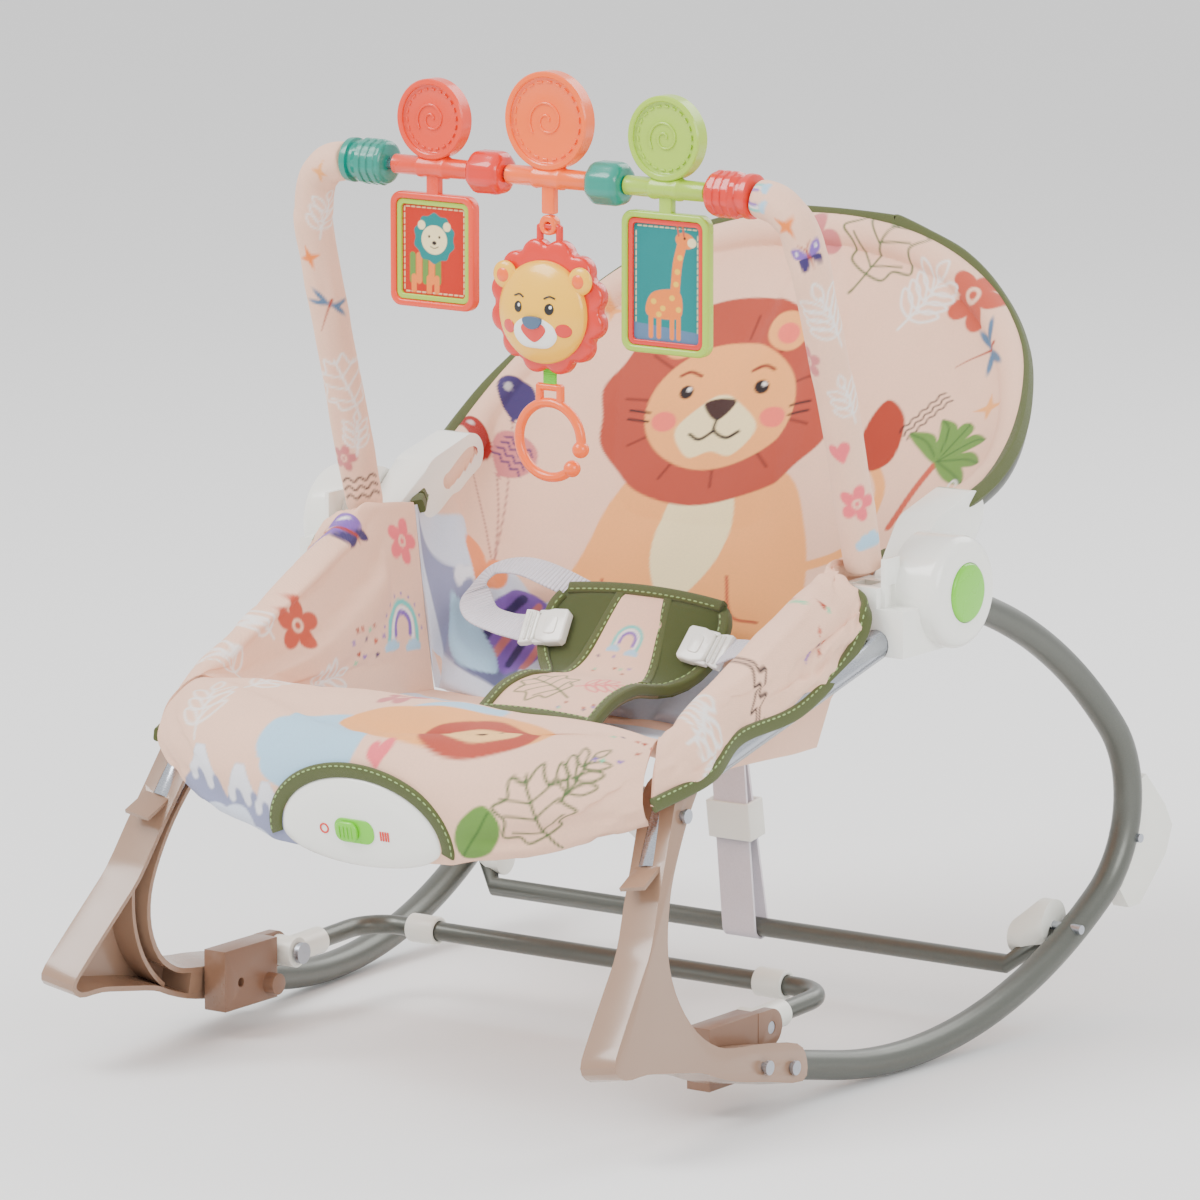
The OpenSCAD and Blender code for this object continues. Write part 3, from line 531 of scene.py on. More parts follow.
# ---------- materials ----------
class Graph:
    """A material under construction: its nodes are made and joined in one call each."""

    def __init__(self, name, base, rough, **fixed):
        self.material = bpy.data.materials.new(name)
        self.material.use_nodes = True
        self.nodes, self.links = self.material.node_tree.nodes, self.material.node_tree.links
        self.shader = self.nodes["Principled BSDF"]
        self.shader.inputs["Base Color"].default_value = (*base, 1)
        self.shader.inputs["Roughness"].default_value = rough
        for key, value in fixed.items():
            self.shader.inputs[key.replace("_", " ")].default_value = value

    def node(self, kind, inputs=(), **settings):
        n = self.nodes.new("ShaderNode" + kind)
        for key, value in settings.items():
            setattr(n, key, value)
        for key, value in dict(inputs).items():
            if isinstance(value, bpy.types.NodeSocket):
                self.links.new(value, n.inputs[key])
            else:
                n.inputs[key].default_value = value
        return n

    def math(self, operation, a, b=0.0):
        return self.node("Math", {0: a, 1: b}, operation=operation).outputs[0]

    def noise(self, where, scale, detail=3.0, roughness=0.5):
        return self.node("TexNoise", {"Vector": where, "Scale": scale, "Detail": detail,
                                      "Roughness": roughness}).outputs["Fac"]

    def ramp(self, value, low, high, to_low, to_high):
        return self.node("MapRange", {"Value": value, "From Min": low, "From Max": high, "To Min": to_low,
                                      "To Max": to_high}).outputs["Result"]

    def shade(self, colour, factor):
        """A colour made lighter or darker by a factor about 1."""
        return self.node("VectorMath", {0: colour, "Scale": factor}, operation="SCALE").outputs[0]

    def bump(self, height, strength, distance, under=None):
        inputs = {"Height": height, "Strength": strength, "Distance": distance}
        if under is not None:
            inputs["Normal"] = under
        return self.node("Bump", inputs).outputs["Normal"]

    def set(self, socket, value):
        self.links.new(value, self.shader.inputs[socket])
        return self

    @property
    def where(self):
        return self.node("TexCoord").outputs["Object"]


def plain_colour(graph, base):
    return graph.node("CombineXYZ", {0: base[0], 1: base[1], 2: base[2]}).outputs[0]


def moulded(name, colour, rough=0.3, coat=0.25, grain=0.02, variation=0.05):
    """Moulded plastic: slight colour and gloss variation, fine surface texture."""
    base = linear(*colour)
    g = Graph(name, base, rough, Coat_Weight=coat, Coat_Roughness=0.12)
    where = g.where
    cloudy = g.noise(where, 9, 4)
    fine = g.noise(where, 900, 2)
    g.set("Base Color", g.shade(plain_colour(g, base), g.ramp(cloudy, 0.3, 0.7, 1 - variation,
                                                              1 + variation)))
    g.set("Roughness", g.ramp(g.noise(where, 40, 5), 0.3, 0.7, rough * 0.85, rough * 1.2))
    g.set("Normal", g.bump(fine, grain * 10, 0.0002))
    return g.material


def painted_steel(name, colour):
    """Powder-coated tube: orange peel and a faint flake."""
    base = linear(*colour)
    g = Graph(name, base, 0.36, Metallic=0.55, Coat_Weight=0.15, Coat_Roughness=0.25)
    where = g.where
    flake = g.noise(where, 2600, 1)
    peel = g.noise(where, 420, 3)
    g.set("Base Color", g.shade(plain_colour(g, base), g.ramp(flake, 0.35, 0.65, 0.9, 1.1)))
    g.set("Roughness", g.ramp(g.noise(where, 30, 4), 0.3, 0.7, 0.3, 0.42))
    g.set("Normal", g.bump(peel, 0.25, 0.00025))
    return g.material


def bright_steel(name, rough=0.22):
    """Bare drawn steel with fine marks round it."""
    base = linear(196, 198, 202)
    g = Graph(name, base, rough, Metallic=1.0)
    where = g.where
    marks = g.noise(g.node("Mapping", {"Vector": where, "Scale": (60, 900, 900)}).outputs[0], 3, 4)
    g.set("Roughness", g.ramp(marks, 0.3, 0.7, rough * 0.7, rough * 1.5))
    g.set("Base Color", g.shade(plain_colour(g, base), g.ramp(marks, 0.3, 0.7, 0.9, 1.05)))
    g.set("Normal", g.bump(marks, 0.15, 0.0001))
    return g.material


def woven(name, colour=None, thread=0.9, strength=0.5, sheen=0.15, rough=0.85, ribs=None):
    """Cloth: crossed threads drawn from the piece's own cloth map, in millimetres times MM."""
    base = linear(*colour) if colour else (0.8, 0.8, 0.8)
    g = Graph(name, base, rough, Sheen_Weight=sheen, Sheen_Roughness=0.5, Specular_IOR_Level=0.25)
    uv = g.node("UVMap", uv_map="cloth").outputs[0]
    parts = g.node("SeparateXYZ", {0: uv})
    turn = 2 * math.pi / (thread * MM)
    warp = g.math("SINE", g.math("MULTIPLY", parts.outputs[0], turn))
    weft = g.math("SINE", g.math("MULTIPLY", parts.outputs[1], turn))
    height = g.math("MULTIPLY", warp, weft) if ribs is None else warp
    where = g.where
    slub = g.noise(where, 700, 3)
    soft = g.noise(where, 14, 3)
    colour_in = plain_colour(g, base) if colour else g.node("Attribute",
                                                            attribute_name="print").outputs["Color"]
    # painted shade in the weave's low spots and a painted highlight on its raised threads, mixed with random tone
    # from the soft and slub noises
    shade = g.math("ADD", g.ramp(height, -1, 1, -0.035, 0.025), g.ramp(soft, 0.3, 0.7, 0.97, 1.03))
    shade = g.math("ADD", shade, g.ramp(slub, 0.3, 0.7, -0.03, 0.03))
    g.set("Base Color", g.shade(colour_in, shade))
    g.set("Roughness", g.ramp(slub, 0.3, 0.7, rough - 0.08, min(rough + 0.08, 1)))
    depth = 0.0003 if ribs is None else ribs * MM
    g.set("Normal", g.bump(slub, 0.25, 0.0003, g.bump(height, strength, depth)))
    return g.material


TUBE_GREY = painted_steel("tube_grey_paint", (112, 113, 110))
STEEL = bright_steel("drawn_steel")
BOLT = bright_steel("bolt_steel_dull", 0.34)
SPRING = bright_steel("spring_wire", 0.18)
TAUPE = moulded("taupe_gloss_plastic", (154, 136, 124), 0.22, 0.5, 0.01, 0.03)
TAUPE_BLOCK = moulded("taupe_block_plastic", (136, 114, 101), 0.32, 0.2, 0.03, 0.04)
WHITE = moulded("white_gloss_plastic", (242, 242, 239), 0.2, 0.5, 0.01, 0.015)
WHITE_CLIP = moulded("white_clip_plastic", (236, 236, 232), 0.34, 0.15, 0.03, 0.02)
GREEN = moulded("green_button_plastic", (128, 205, 58), 0.28, 0.35, 0.02, 0.05)
TEAL = moulded("teal_plastic", (30, 146, 130), 0.25, 0.4, 0.02, 0.05)
RED = moulded("red_plastic", (222, 56, 36), 0.22, 0.45, 0.02, 0.05)
SPINNER_RED = moulded("orange_red_plastic", (232, 82, 45), 0.28, 0.35, 0.02, 0.04)
ORANGE = moulded("orange_plastic", (250, 118, 42), 0.25, 0.4, 0.02, 0.04)
LIME = moulded("lime_plastic", (172, 198, 96), 0.28, 0.35, 0.02, 0.04)
YELLOW = moulded("yellow_plastic", (247, 196, 76), 0.24, 0.4, 0.015, 0.03)
PRINT = woven("printed_cloth")
SLEEVE_PRINT = woven("sleeve_cloth")
SAGE = woven("sage_binding", (98, 103, 78), 0.8, 0.5, 0.2)
THREAD = woven("sage_thread", (165, 180, 145), 0.5, 0.4, 0.1)
WEBBING = woven("white_webbing", (228, 226, 230), 2.6, 0.8, 0.2, 0.8, ribs=0.5)
RIBBON = woven("green_ribbon", (128, 208, 84), 1.4, 0.6, 0.2, 0.8, ribs=0.3)


# ---------- prints ----------
INK = {k: np.array(linear(*v)) for k, v in {
    "peach": (238, 212, 198), "white": (246, 243, 241), "sage": (88, 94, 68), "leaf": (122, 150, 96),
    "leaf_dark": (84, 112, 72), "outline": (96, 112, 84), "mane": (180, 98, 84), "mane_dark": (140, 74, 64),
    "lion": (243, 184, 138), "lion_light": (248, 205, 165), "cream": (250, 232, 205), "nose": (70, 52, 50),
    "black": (48, 42, 44), "blush": (236, 140, 130), "pink": (232, 140, 146), "terracotta": (198, 112, 96),
    "plum": (86, 78, 112), "red": (168, 44, 34), "rose": (202, 152, 152), "heart": (244, 168, 132),
    "sky": (196, 214, 226), "cloud": (226, 229, 236), "snow": (240, 240, 243), "rock": (164, 166, 182),
    "rock_dark": (128, 130, 150), "violet": (150, 128, 182), "aqua": (146, 206, 200), "yellow": (250, 205,
        110),
    "orange": (240, 150, 90), "rust": (176, 76, 56), "string": (170, 128, 128), "teal": (38, 140, 140),
    "blue_grey": (120, 138, 158), "mint": (150, 205, 175), "lime": (160, 180, 80), "card_red": (205, 60,
        40)}.items()}


class Artwork:
    """Flat shapes laid one over another on points of a cloth, whose places on the cloth are in millimetres."""

    def __init__(self, at, ground="peach", edge=1.3):
        self.at = np.asarray(at, float).reshape(-1, 2)
        self.rgb = np.tile(INK[ground], (len(self.at), 1))
        self.edge = edge
        self.order = np.argsort(self.at[:, 0])
        self.sorted_x = self.at[self.order, 0]

    def near(self, low, high):
        a, b = np.searchsorted(self.sorted_x, [low[0], high[0]])
        k = self.order[a:b]
        y = self.at[k, 1]
        return k[(y >= low[1]) & (y <= high[1])]

    def lay(self, k, depth, ink):
        """Covers points k by how deep in mm they lie inside a shape."""
        m = np.clip(0.5 + depth / self.edge, 0, 1)[:, None]
        colour = INK[ink] if isinstance(ink, str) else ink
        self.rgb[k] = self.rgb[k] * (1 - m) + colour * m

    def shape(self, points, ink, smooth=True):
        """A closed shape: a smooth curve through points, or a polygon."""
        p = np.asarray(points, float)
        if smooth:
            p = catmull(p, np.linspace(0, len(p), 8 * len(p), endpoint=False), True)
        k = self.near(p.min(0) - 2, p.max(0) + 2)
        if not len(k):
            return
        q = self.at[k]
        inside = np.zeros(len(k), bool)
        nearest = np.full(len(k), 1e9)
        for a, b in zip(p, np.roll(p, -1, 0)):
            nearest = np.minimum(nearest, segment_distance(q, a, b))
            crosses = (a[1] > q[:, 1]) != (b[1] > q[:, 1])
            if crosses.any():
                x = a[0] + (q[:, 1] - a[1]) / (b[1] - a[1] + 1e-12) * (b[0] - a[0])
                inside ^= crosses & (q[:, 0] < x)
        self.lay(k, np.where(inside, nearest, -nearest), ink)

    def line(self, points, width, ink, smooth=True, closed=False, taper=False):
        p = np.asarray(points, float)
        if smooth and len(p) > 2:
            spans = len(p) if closed else len(p) - 1
            p = catmull(p, np.linspace(0, spans, 7 * spans + 1), closed)
        elif closed:
            p = np.vstack([p, p[:1]])
        k = self.near(p.min(0) - width - 2, p.max(0) + width + 2)
        if not len(k):
            return
        best = np.full(len(k), -1e9)
        n = len(p) - 1
        for i, (a, b) in enumerate(zip(p[:-1], p[1:])):
            half = width / 2 * (1 - 0.8 * i / n if taper else 1)
            best = np.maximum(best, half - segment_distance(self.at[k], a, b))
        self.lay(k, best, ink)

    def oval(self, centre, radii, ink, turn=0.0):
        c, r = np.asarray(centre, float), np.asarray(radii, float) * np.ones(2)
        k = self.near(c - r.max() - 2, c + r.max() + 2)
        if not len(k):
            return
        a = math.radians(turn)
        d = self.at[k] - c
        u = np.column_stack([d[:, 0] * math.cos(a) + d[:, 1] * math.sin(a), -d[:, 0] * math.sin(a) + d[:,
            1] * math.cos(a)])
        far = np.linalg.norm(u / r, axis=1)
        self.lay(k, (1 - far) * r.min(), ink)


def segment_distance(q, a, b):
    d = b - a
    t = np.clip(((q - a) @ d) / max(d @ d, 1e-9), 0, 1)
    return np.hypot(q[:, 0] - a[0] - t * d[0], q[:, 1] - a[1] - t * d[1])


def spot(centre, size, turn, *points):
    """Points of a motif of unit size, turned and put at centre."""
    a = math.radians(turn)
    p = np.asarray(points, float) * size
    return np.column_stack([p[:, 0] * math.cos(a) - p[:, 1] * math.sin(a),
                            p[:, 0] * math.sin(a) + p[:, 1] * math.cos(a)]) + centre


def flower(art, centre, size, ink, turn=0, heart="peach", petals=5):
    for k in range(petals):
        a = math.radians(turn + 360 * k / petals)
        out = np.array([math.cos(a), math.sin(a)])
        art.oval(np.array(centre) + out * size * 0.31, (size * 0.23, size * 0.18), ink, math.degrees(a))
    art.oval(centre, size * 0.14, heart)
    art.oval(centre, size * 0.07, ink)


def leaf_spray(art, centre, size, turn, ink="white", width=1.6, pairs=3):
    """A stem with pairs of outlined leaves."""
    art.line(spot(centre, size, turn, (0, -0.5), (0.03, 0), (0, 0.3)), width, ink)
    for k in range(pairs):
        y = -0.3 + 0.55 * k / pairs
        for side in (-1, 1):
            loop = [(0, y), (side * 0.2, y + 0.04), (side * 0.34, y + 0.22), (side * 0.16, y + 0.2)]
            art.line(spot(centre, size, turn, *loop), width, ink, closed=True)
    art.line(spot(centre, size, turn, (0, 0.25), (0.08, 0.38), (0, 0.52), (-0.08, 0.38)), width, ink,
             closed=True)


def monstera(art, centre, size, turn, ink="outline", fill=None, width=1.5):
    """A split leaf with its veins."""
    rim = []
    for k in range(15):
        a = math.radians(-150 + 300 * k / 14)
        r = 0.5 if k % 2 == 0 else 0.36
        if k in (0, 14):
            r = 0.42
        rim.append((r * math.sin(a) * 0.9, r * math.cos(a)))
    if fill:
        art.shape(spot(centre, size, turn, *rim), fill)
    art.line(spot(centre, size, turn, *rim), width, ink, closed=True)
    art.line(spot(centre, size, turn, (0, -0.62), (0.02, -0.2), (0, 0.42)), width, ink)
    for side in (-1, 1):
        for y in (-0.22, 0.0, 0.2):
            art.line(spot(centre, size, turn, (0, y - 0.08), (side * 0.18, y + 0.02), (side * 0.3,
                y + 0.08)), width * 0.8, ink)


def heart(art, centre, size, ink, turn=0):
    half = [(0, -0.5), (0.26, -0.24), (0.5, 0.06), (0.48, 0.33), (0.26, 0.44), (0.06, 0.34), (0, 0.22)]
    art.shape(spot(centre, size, turn, *half, *[(-x, y) for x, y in half[-2:0:-1]]), ink)


def balloon(art, centre, size, ink, turn=0, pattern=None, knot=None):
    art.shape(spot(centre, size, turn, (0, 0.5), (0.3, 0.4), (0.4, 0.1), (0.28, -0.22), (0.05, -0.46),
                   (-0.05, -0.46),
                   (-0.28, -0.22), (-0.4, 0.1), (-0.3, 0.4)), ink)
    art.shape(spot(centre, size, turn, (0, -0.42), (0.07, -0.53), (-0.07, -0.53)), ink, smooth=False)
    if pattern:
        for y in (-0.16, 0.0, 0.16, 0.3):
            zig = [(-0.27 + 0.09 * i, y + (0.05 if i % 2 else -0.05)) for i in range(7)]
            art.line(spot(centre, size, turn, *zig), size * 0.035, pattern, smooth=False)
    else:
        art.oval(spot(centre, size, turn, (-0.17, 0.2))[0], (size * 0.07, size * 0.12),
                 INK["white"] * 0.5 + INK[ink] * 0.5, turn - 25)
    if knot is not None:
        start = spot(centre, size, turn, (0, -0.53))[0]
        art.line([start, (start + np.asarray(knot)) / 2 + [2, 0], knot], 0.9, "string")


def cloud(art, centre, size, ink):
    for x, y, r in ((-0.36, -0.02, 0.15), (-0.16, 0.09, 0.2), (0.1, 0.12, 0.22), (0.34, 0.0, 0.16)):
        art.oval(np.array(centre) + [x * size, y * size], r * size, ink)
    art.shape(spot(centre, size, 0, (-0.46, -0.16), (0.46, -0.16), (0.46, 0.02), (-0.46, 0.02)), ink,
              smooth=False)


def rainbow(art, centre, size, turn, dots=True):
    arch = [(-1, -0.55), (-1, 0)] + [(-math.cos(math.radians(a)),
                                      math.sin(math.radians(a))) for a in range(20, 180, 20)] \
        + [(1, 0), (1, -0.55)]
    for r, ink in ((0.36, "aqua"), (0.26, "white"), (0.2, "violet")):
        art.line(spot(centre, size, turn, *[(x * r, y * r) for x, y in arch]), size * 0.085, ink,
                 smooth=False)
    for side in (-1, 1):
        cloud(art, spot(centre, size, turn, (side * 0.27, -0.3))[0], size * 0.36, "sky")
    if dots:
        for a in range(0, 181, 22):
            b = math.radians(a)
            art.oval(spot(centre, size, turn, (0.48 * math.cos(b), 0.48 * math.sin(b)))[0], size * 0.022,
                     "violet")


def confetti(art, centre, spread, count, seed, size=4.0):
    rng = np.random.default_rng(seed)
    inks = ("rust", "violet", "mint", "terracotta", "plum")
    for k in range(count):
        c = np.array(centre) + rng.uniform(-0.5, 0.5, 2) * spread
        if k % 3 == 0:
            heart(art, c, size, inks[k % 5], float(rng.uniform(-30, 30)))
        else:
            turn = float(rng.uniform(0, 90))
            for a in (0, 90):
                art.line(spot(c, size, turn + a, (-0.4, 0), (0.4, 0)), size * 0.28, inks[k % 5],
                         smooth=False)


def butterfly(art, centre, size, turn):
    for side in (-1, 1):
        art.shape(spot(centre, size, turn, (0, 0.02), (side * 0.2, 0.34), (side * 0.5, 0.38), (side * 0.42,
            0.08)), "violet")
        art.shape(spot(centre, size, turn, (0, 0), (side * 0.34, 0.0), (side * 0.36, -0.28), (side * 0.12,
            -0.24)), "plum")
        art.oval(spot(centre, size, turn, (side * 0.34, 0.24))[0], size * 0.05, "white")
        art.line(spot(centre, size, turn, (0, 0.2), (side * 0.1, 0.36), (side * 0.2, 0.42)), size * 0.03,
                 "rust")
    art.oval(centre, (size * 0.045, size * 0.24), "rust", turn)


def dragonfly(art, centre, size, turn):
    for a in (25, -20):
        for side in (-1, 1):
            art.oval(spot(centre, size, turn, (side * 0.24, 0.14 + a * 0.003))[0], (size * 0.24,
                size * 0.055),
                     "blue_grey", turn + side * a)
    art.line(spot(centre, size, turn, (0, 0.24), (0, 0), (0.02, -0.5)), size * 0.06, "rust", taper=True)


def star(art, centre, size, ink, turn=0):
    tips = [((0.5 if k % 2 == 0 else 0.16) * math.sin(k * math.pi / 4),
             (0.5 if k % 2 == 0 else 0.16) * math.cos(k * math.pi / 4))
            for k in range(8)]
    art.shape(spot(centre, size, turn, *tips), ink, smooth=False)


def waves(art, centre, size, turn, rows=3, ink="black"):
    for r in range(rows):
        y = 0.13 * (r - (rows - 1) / 2)
        line = [(-0.5 + 0.1 * k, y + (0.025 if k % 2 else -0.025)) for k in range(11)]
        art.line(spot(centre, size, turn, *line), size * 0.026 + 0.4, ink)


def palm(art, centre, size, turn):
    art.line(spot(centre, size, turn, (0.12, -0.55), (0.04, -0.2), (0.0, 0.1)), size * 0.07, "terracotta")
    for a, bend in ((-80, 0.2), (-40, 0.14), (-5, 0.05), (35, -0.1), (75, -0.18), (105, -0.26)):
        b = math.radians(a)
        tip = np.array([math.sin(b) * 0.5, 0.1 + math.cos(b) * 0.42])
        mid = np.array([math.sin(b) * 0.27, 0.14 + math.cos(b) * 0.3])
        wide = np.array([math.cos(b), -math.sin(b)]) * 0.085
        art.shape(spot(centre, size, turn, (0, 0.08), mid + wide, tip, mid - wide), "leaf")
        art.line(spot(centre, size, turn, (0, 0.1), mid, tip), size * 0.015, "leaf_dark")


def mountain(art, foot, width, height, ink="rock", snow=0.4):
    x, y = foot
    art.shape([(x - width / 2, y), (x - width * 0.06, y + height), (x + width * 0.06, y + height),
               (x + width / 2, y)], ink, smooth=False)
    s = 1 - snow
    cap = [(x - width * (0.5 - 0.44 * s), y + height * s), (x - width * 0.06, y + height),
           (x + width * 0.06, y + height),
           (x + width * (0.5 - 0.44 * s), y + height * s)]
    art.shape(cap, "snow", smooth=False)
    for k in range(4):
        c = x + width * (-0.2 + 0.135 * k) * (1.5 - s)
        art.oval((c, y + height * s), (width * 0.06, height * 0.11), "snow" if k % 2 == 0 else ink)


def lion_portrait(art, centre, size, turn):
    """A plain sitting lion: head with a round mane, chest, paws and tail."""
    art.line(spot(centre, size, turn, (0.5, -0.78), (0.72, -0.72), (0.8, -0.5), (0.74, -0.34)),
             size * 0.045, "lion")
    art.shape(spot(centre, size, turn, (0.7, -0.36), (0.82, -0.34), (0.84, -0.16), (0.74, -0.05), (0.66,
        -0.2)), "rust")
    art.shape(spot(centre, size, turn, (-0.28, -0.3), (-0.44, -0.66), (-0.5, -1.02), (-0.3, -1.16), (0.1,
        -1.14), (0.42, -1.14),
                   (0.56, -0.98), (0.5, -0.6), (0.3, -0.3)), "lion")
    art.shape(spot(centre, size, turn, (-0.1, -0.4), (-0.14, -0.7), (0.0, -0.92), (0.16, -0.7), (0.14,
        -0.4)), "cream")
    for x in (-0.26, 0.28):
        art.line(spot(centre, size, turn, (x - 0.06, -0.8), (x, -0.98), (x + 0.12, -1.02)), size * 0.012,
                 "mane")
    ring = [((0.52 + 0.025 * (k % 2)) * math.sin(k * math.pi / 11),
             0.46 * math.cos(k * math.pi / 11)) for k in range(22)]
    art.shape(spot(centre, size, turn, *ring), "mane")
    for k in range(11):
        a = k * 2 * math.pi / 11 + 0.2
        art.line(spot(centre, size, turn, (0.32 * math.sin(a), 0.28 * math.cos(a)), (0.43 * math.sin(a),
            0.38 * math.cos(a))),
                 size * 0.012, "mane_dark")
    for side in (-1, 1):
        art.oval(spot(centre, size, turn, (side * 0.24, 0.29))[0], size * 0.085, "lion")
        art.oval(spot(centre, size, turn, (side * 0.24, 0.28))[0], size * 0.045, "blush")
    face = [(0.33 * math.sin(k * math.pi / 8),
             -0.03 + (0.29 if abs(k - 8) > 4 else 0.27) * math.cos(k * math.pi / 8)) for k in range(16)]
    art.shape(spot(centre, size, turn, *face), "lion")
    art.shape(spot(centre, size, turn, (-0.07, 0.0), (0.0, 0.03), (0.07, 0.0), (0.18, -0.12), (0.1, -0.24),
                   (0, -0.22),
                   (-0.1, -0.24), (-0.18, -0.12)), "cream")
    art.shape(spot(centre, size, turn, (-0.075, -0.01), (0, 0.015), (0.075, -0.01), (0.0, -0.085)), "nose")
    art.line(spot(centre, size, turn, (0, -0.08), (0, -0.13), (0.06, -0.165), (0.11, -0.14)), size * 0.014,
             "black")
    art.line(spot(centre, size, turn, (0, -0.13), (-0.06, -0.165), (-0.11, -0.14)), size * 0.014, "black")
    for side in (-1, 1):
        art.oval(spot(centre, size, turn, (side * 0.17, 0.05))[0], size * 0.03, "black")
        art.oval(spot(centre, size, turn, (side * 0.17 + 0.01, 0.062))[0], size * 0.01, "white")
        art.line(spot(centre, size, turn, (side * 0.12, 0.12), (side * 0.17, 0.14), (side * 0.21, 0.125)),
                 size * 0.014, "mane_dark")
        art.oval(spot(centre, size, turn, (side * 0.24, -0.08))[0], (size * 0.055, size * 0.045), "blush")
        for y in (-0.04, -0.08):
            art.line(spot(centre, size, turn, (side * 0.31, y), (side * 0.4, y + 0.01)), size * 0.01,
                     "black", smooth=False)


# ---------- the padded sling ----------
def oriented(grid, at, toward):
    n = surface_normals(grid)
    return n if n[at] @ np.asarray(toward, float) > 0 else -n


def widened(coarse, shape):
    """A coarse grid of vectors interpolated smoothly to a finer grid of the given shape."""
    a, b, _ = coarse.shape
    tall = catmull(coarse.reshape(a, -1), np.linspace(0, a - 1, shape[0])).reshape(shape[0], b, 3)
    wide = catmull(np.swapaxes(tall, 0, 1).reshape(b, -1), np.linspace(0, b - 1, shape[1]))
    return np.swapaxes(wide.reshape(shape[1], shape[0], 3), 0, 1)


def puffed(top, normals, step, spare, pressure, held=1, steps=22):
    """How far the loose cover of a pad moves when it is blown up by its filling: the cover's edges and its
    underside stay where they are, and the cover has some spare cloth, which makes the wrinkles."""
    p, n = top[::step, ::step], normals[::step, ::step]
    a, b = p.shape[:2]
    low = a * b
    points = np.vstack([p.reshape(-1, 3), (p - 5 * n).reshape(-1, 3)])
    k = np.arange(low).reshape(a, b)
    rim = np.concatenate([k[0, :-1], k[:-1, -1], k[-1, :0:-1], k[:0:-1, 0]])
    nxt = np.roll(rim, -1)
    faces = grid_faces(a, b).tolist() + grid_faces(a, b, low)[:, ::-1].tolist()
    faces += np.stack([rim, nxt, nxt + low, rim + low], -1).tolist()
    mesh = bpy.data.meshes.new("filling")
    mesh.from_pydata((points * MM).tolist(), [], faces)
    obj = bpy.data.objects.new("filling", mesh)
    bpy.context.scene.collection.objects.link(obj)
    bm = bmesh.new()
    bm.from_mesh(mesh)
    if bm.calc_volume(signed=True) < 0:
        bmesh.ops.reverse_faces(bm, faces=bm.faces)
    bm.to_mesh(mesh)
    bm.free()
    group = obj.vertex_groups.new(name="held")
    fixed = np.zeros((a, b), bool)
    fixed[:held], fixed[-held:], fixed[:, :held], fixed[:, -held:] = True, True, True, True
    group.add([int(v) for v in np.flatnonzero(fixed.reshape(-1))] + list(range(low, 2 * low)), 1.0,
              "REPLACE")
    cloth = obj.modifiers.new("cover", "CLOTH").settings
    cloth.quality, cloth.mass, cloth.air_damping = 6, 0.12, 2.0
    cloth.tension_stiffness = cloth.compression_stiffness = 12
    cloth.shear_stiffness, cloth.bending_stiffness = 6, 0.6
    cloth.vertex_group_mass = "held"
    cloth.shrink_min = -spare
    cloth.use_pressure, cloth.uniform_pressure_force = True, pressure
    scene = bpy.context.scene
    for f in range(1, steps + 1):
        scene.frame_set(f)
    done = obj.evaluated_get(bpy.context.evaluated_depsgraph_get()).data
    co = np.zeros(len(done.vertices) * 3)
    done.vertices.foreach_get("co", co)
    moved = (co.reshape(-1, 3) / MM - points)[:low].reshape(a, b, 3)
    scene.frame_set(1)
    bpy.data.objects.remove(obj)
    out = (moved * n).sum(-1, keepdims=True)
    moved += n * (np.clip(out, -0.8, None) - out)      # never down into the lining
    moved *= np.minimum(1, 9 / np.maximum(np.linalg.norm(moved, axis=-1, keepdims=True), 1e-6))
    return widened(moved, top.shape[:2])


def crease(x, y, size, seed):
    """Narrow soft lines, 0 to 1."""
    return (1 - np.abs(noise2(x / size, y / size, seed))) ** 4


# The vibration unit's almond outline: half its width, its height above and below its middle
UNIT_HALF, UNIT_TOP, UNIT_LOW = 62, 41.0, 19.0
UNIT_Y, UNIT_Z = 44, 172        # its middle


def almond_gap(x, h):
    """About how far in mm a point of the unit's front plane lies outside its almond outline."""
    b = np.where(h > 0, UNIT_TOP, UNIT_LOW)
    r = np.hypot(x / UNIT_HALF, h / b) + 1e-6
    return (r - 1) * r / (np.hypot(x / UNIT_HALF ** 2, h / b ** 2) + 1e-9)


UNIT_C, UNIT_S = math.cos(math.radians(12)), math.sin(math.radians(12))


def on_unit(x, h, out):
    """A point of the vibration unit: across, up its front plane and out of it."""
    x, h, out = np.broadcast_arrays(np.asarray(x, float), h, out)
    return np.stack([x, UNIT_Y - out * UNIT_C - h * UNIT_S, UNIT_Z - out * UNIT_S + h * UNIT_C], -1)


BEND_START, BEND_END = tuple(place((0, 318, 196))), tuple(place((0, 392, 246)))


def bends(obj):
    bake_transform(obj)
    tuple(BEND_START)
    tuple(BEND_END)
    return obj


STITCH_GAP, STITCH_LENGTH, STITCH_R = 4.6, 3.0, 0.55


def stitches(name, path, normal, body, lift):
    """A row of dashes along a path, lift above it along the given normals."""
    length, r = STITCH_LENGTH, STITCH_R
    at = arc_lengths(path)
    starts = np.arange(2, at[-1] - length, STITCH_GAP)
    parts = []
    for s in starts:
        m = s + length / 2
        q = np.array([np.interp(m, at, path[:, k]) for k in range(3)])
        ahead = np.array([np.interp(s + length, at, path[:, k]) for k in range(3)])
        n = unit(np.array([np.interp(m, at, normal[:, k]) for k in range(3)]))
        t = unit(ahead - q)
        side = np.cross(t, n)
        ring = [(-1, 0.2, 0.15), (-0.55, 1, 0.75), (0.55, 1, 0.75), (1, 0.2, 0.15)]
        points = []
        for along, wide, high in ring:
            for a in range(6):
                c, d = math.cos(a * math.pi / 3), math.sin(a * math.pi / 3)
                points.append(q + t * along * length / 2 + side * c * r * wide + n * (lift + d * r * high))
        parts.append((np.array(points), ring_faces(4, 6) + end_caps(4, 6)))
    p, f = joined(*parts)
    return piece(name, p, f, body, "harness_fabric", THREAD, uv=p[:, :2])


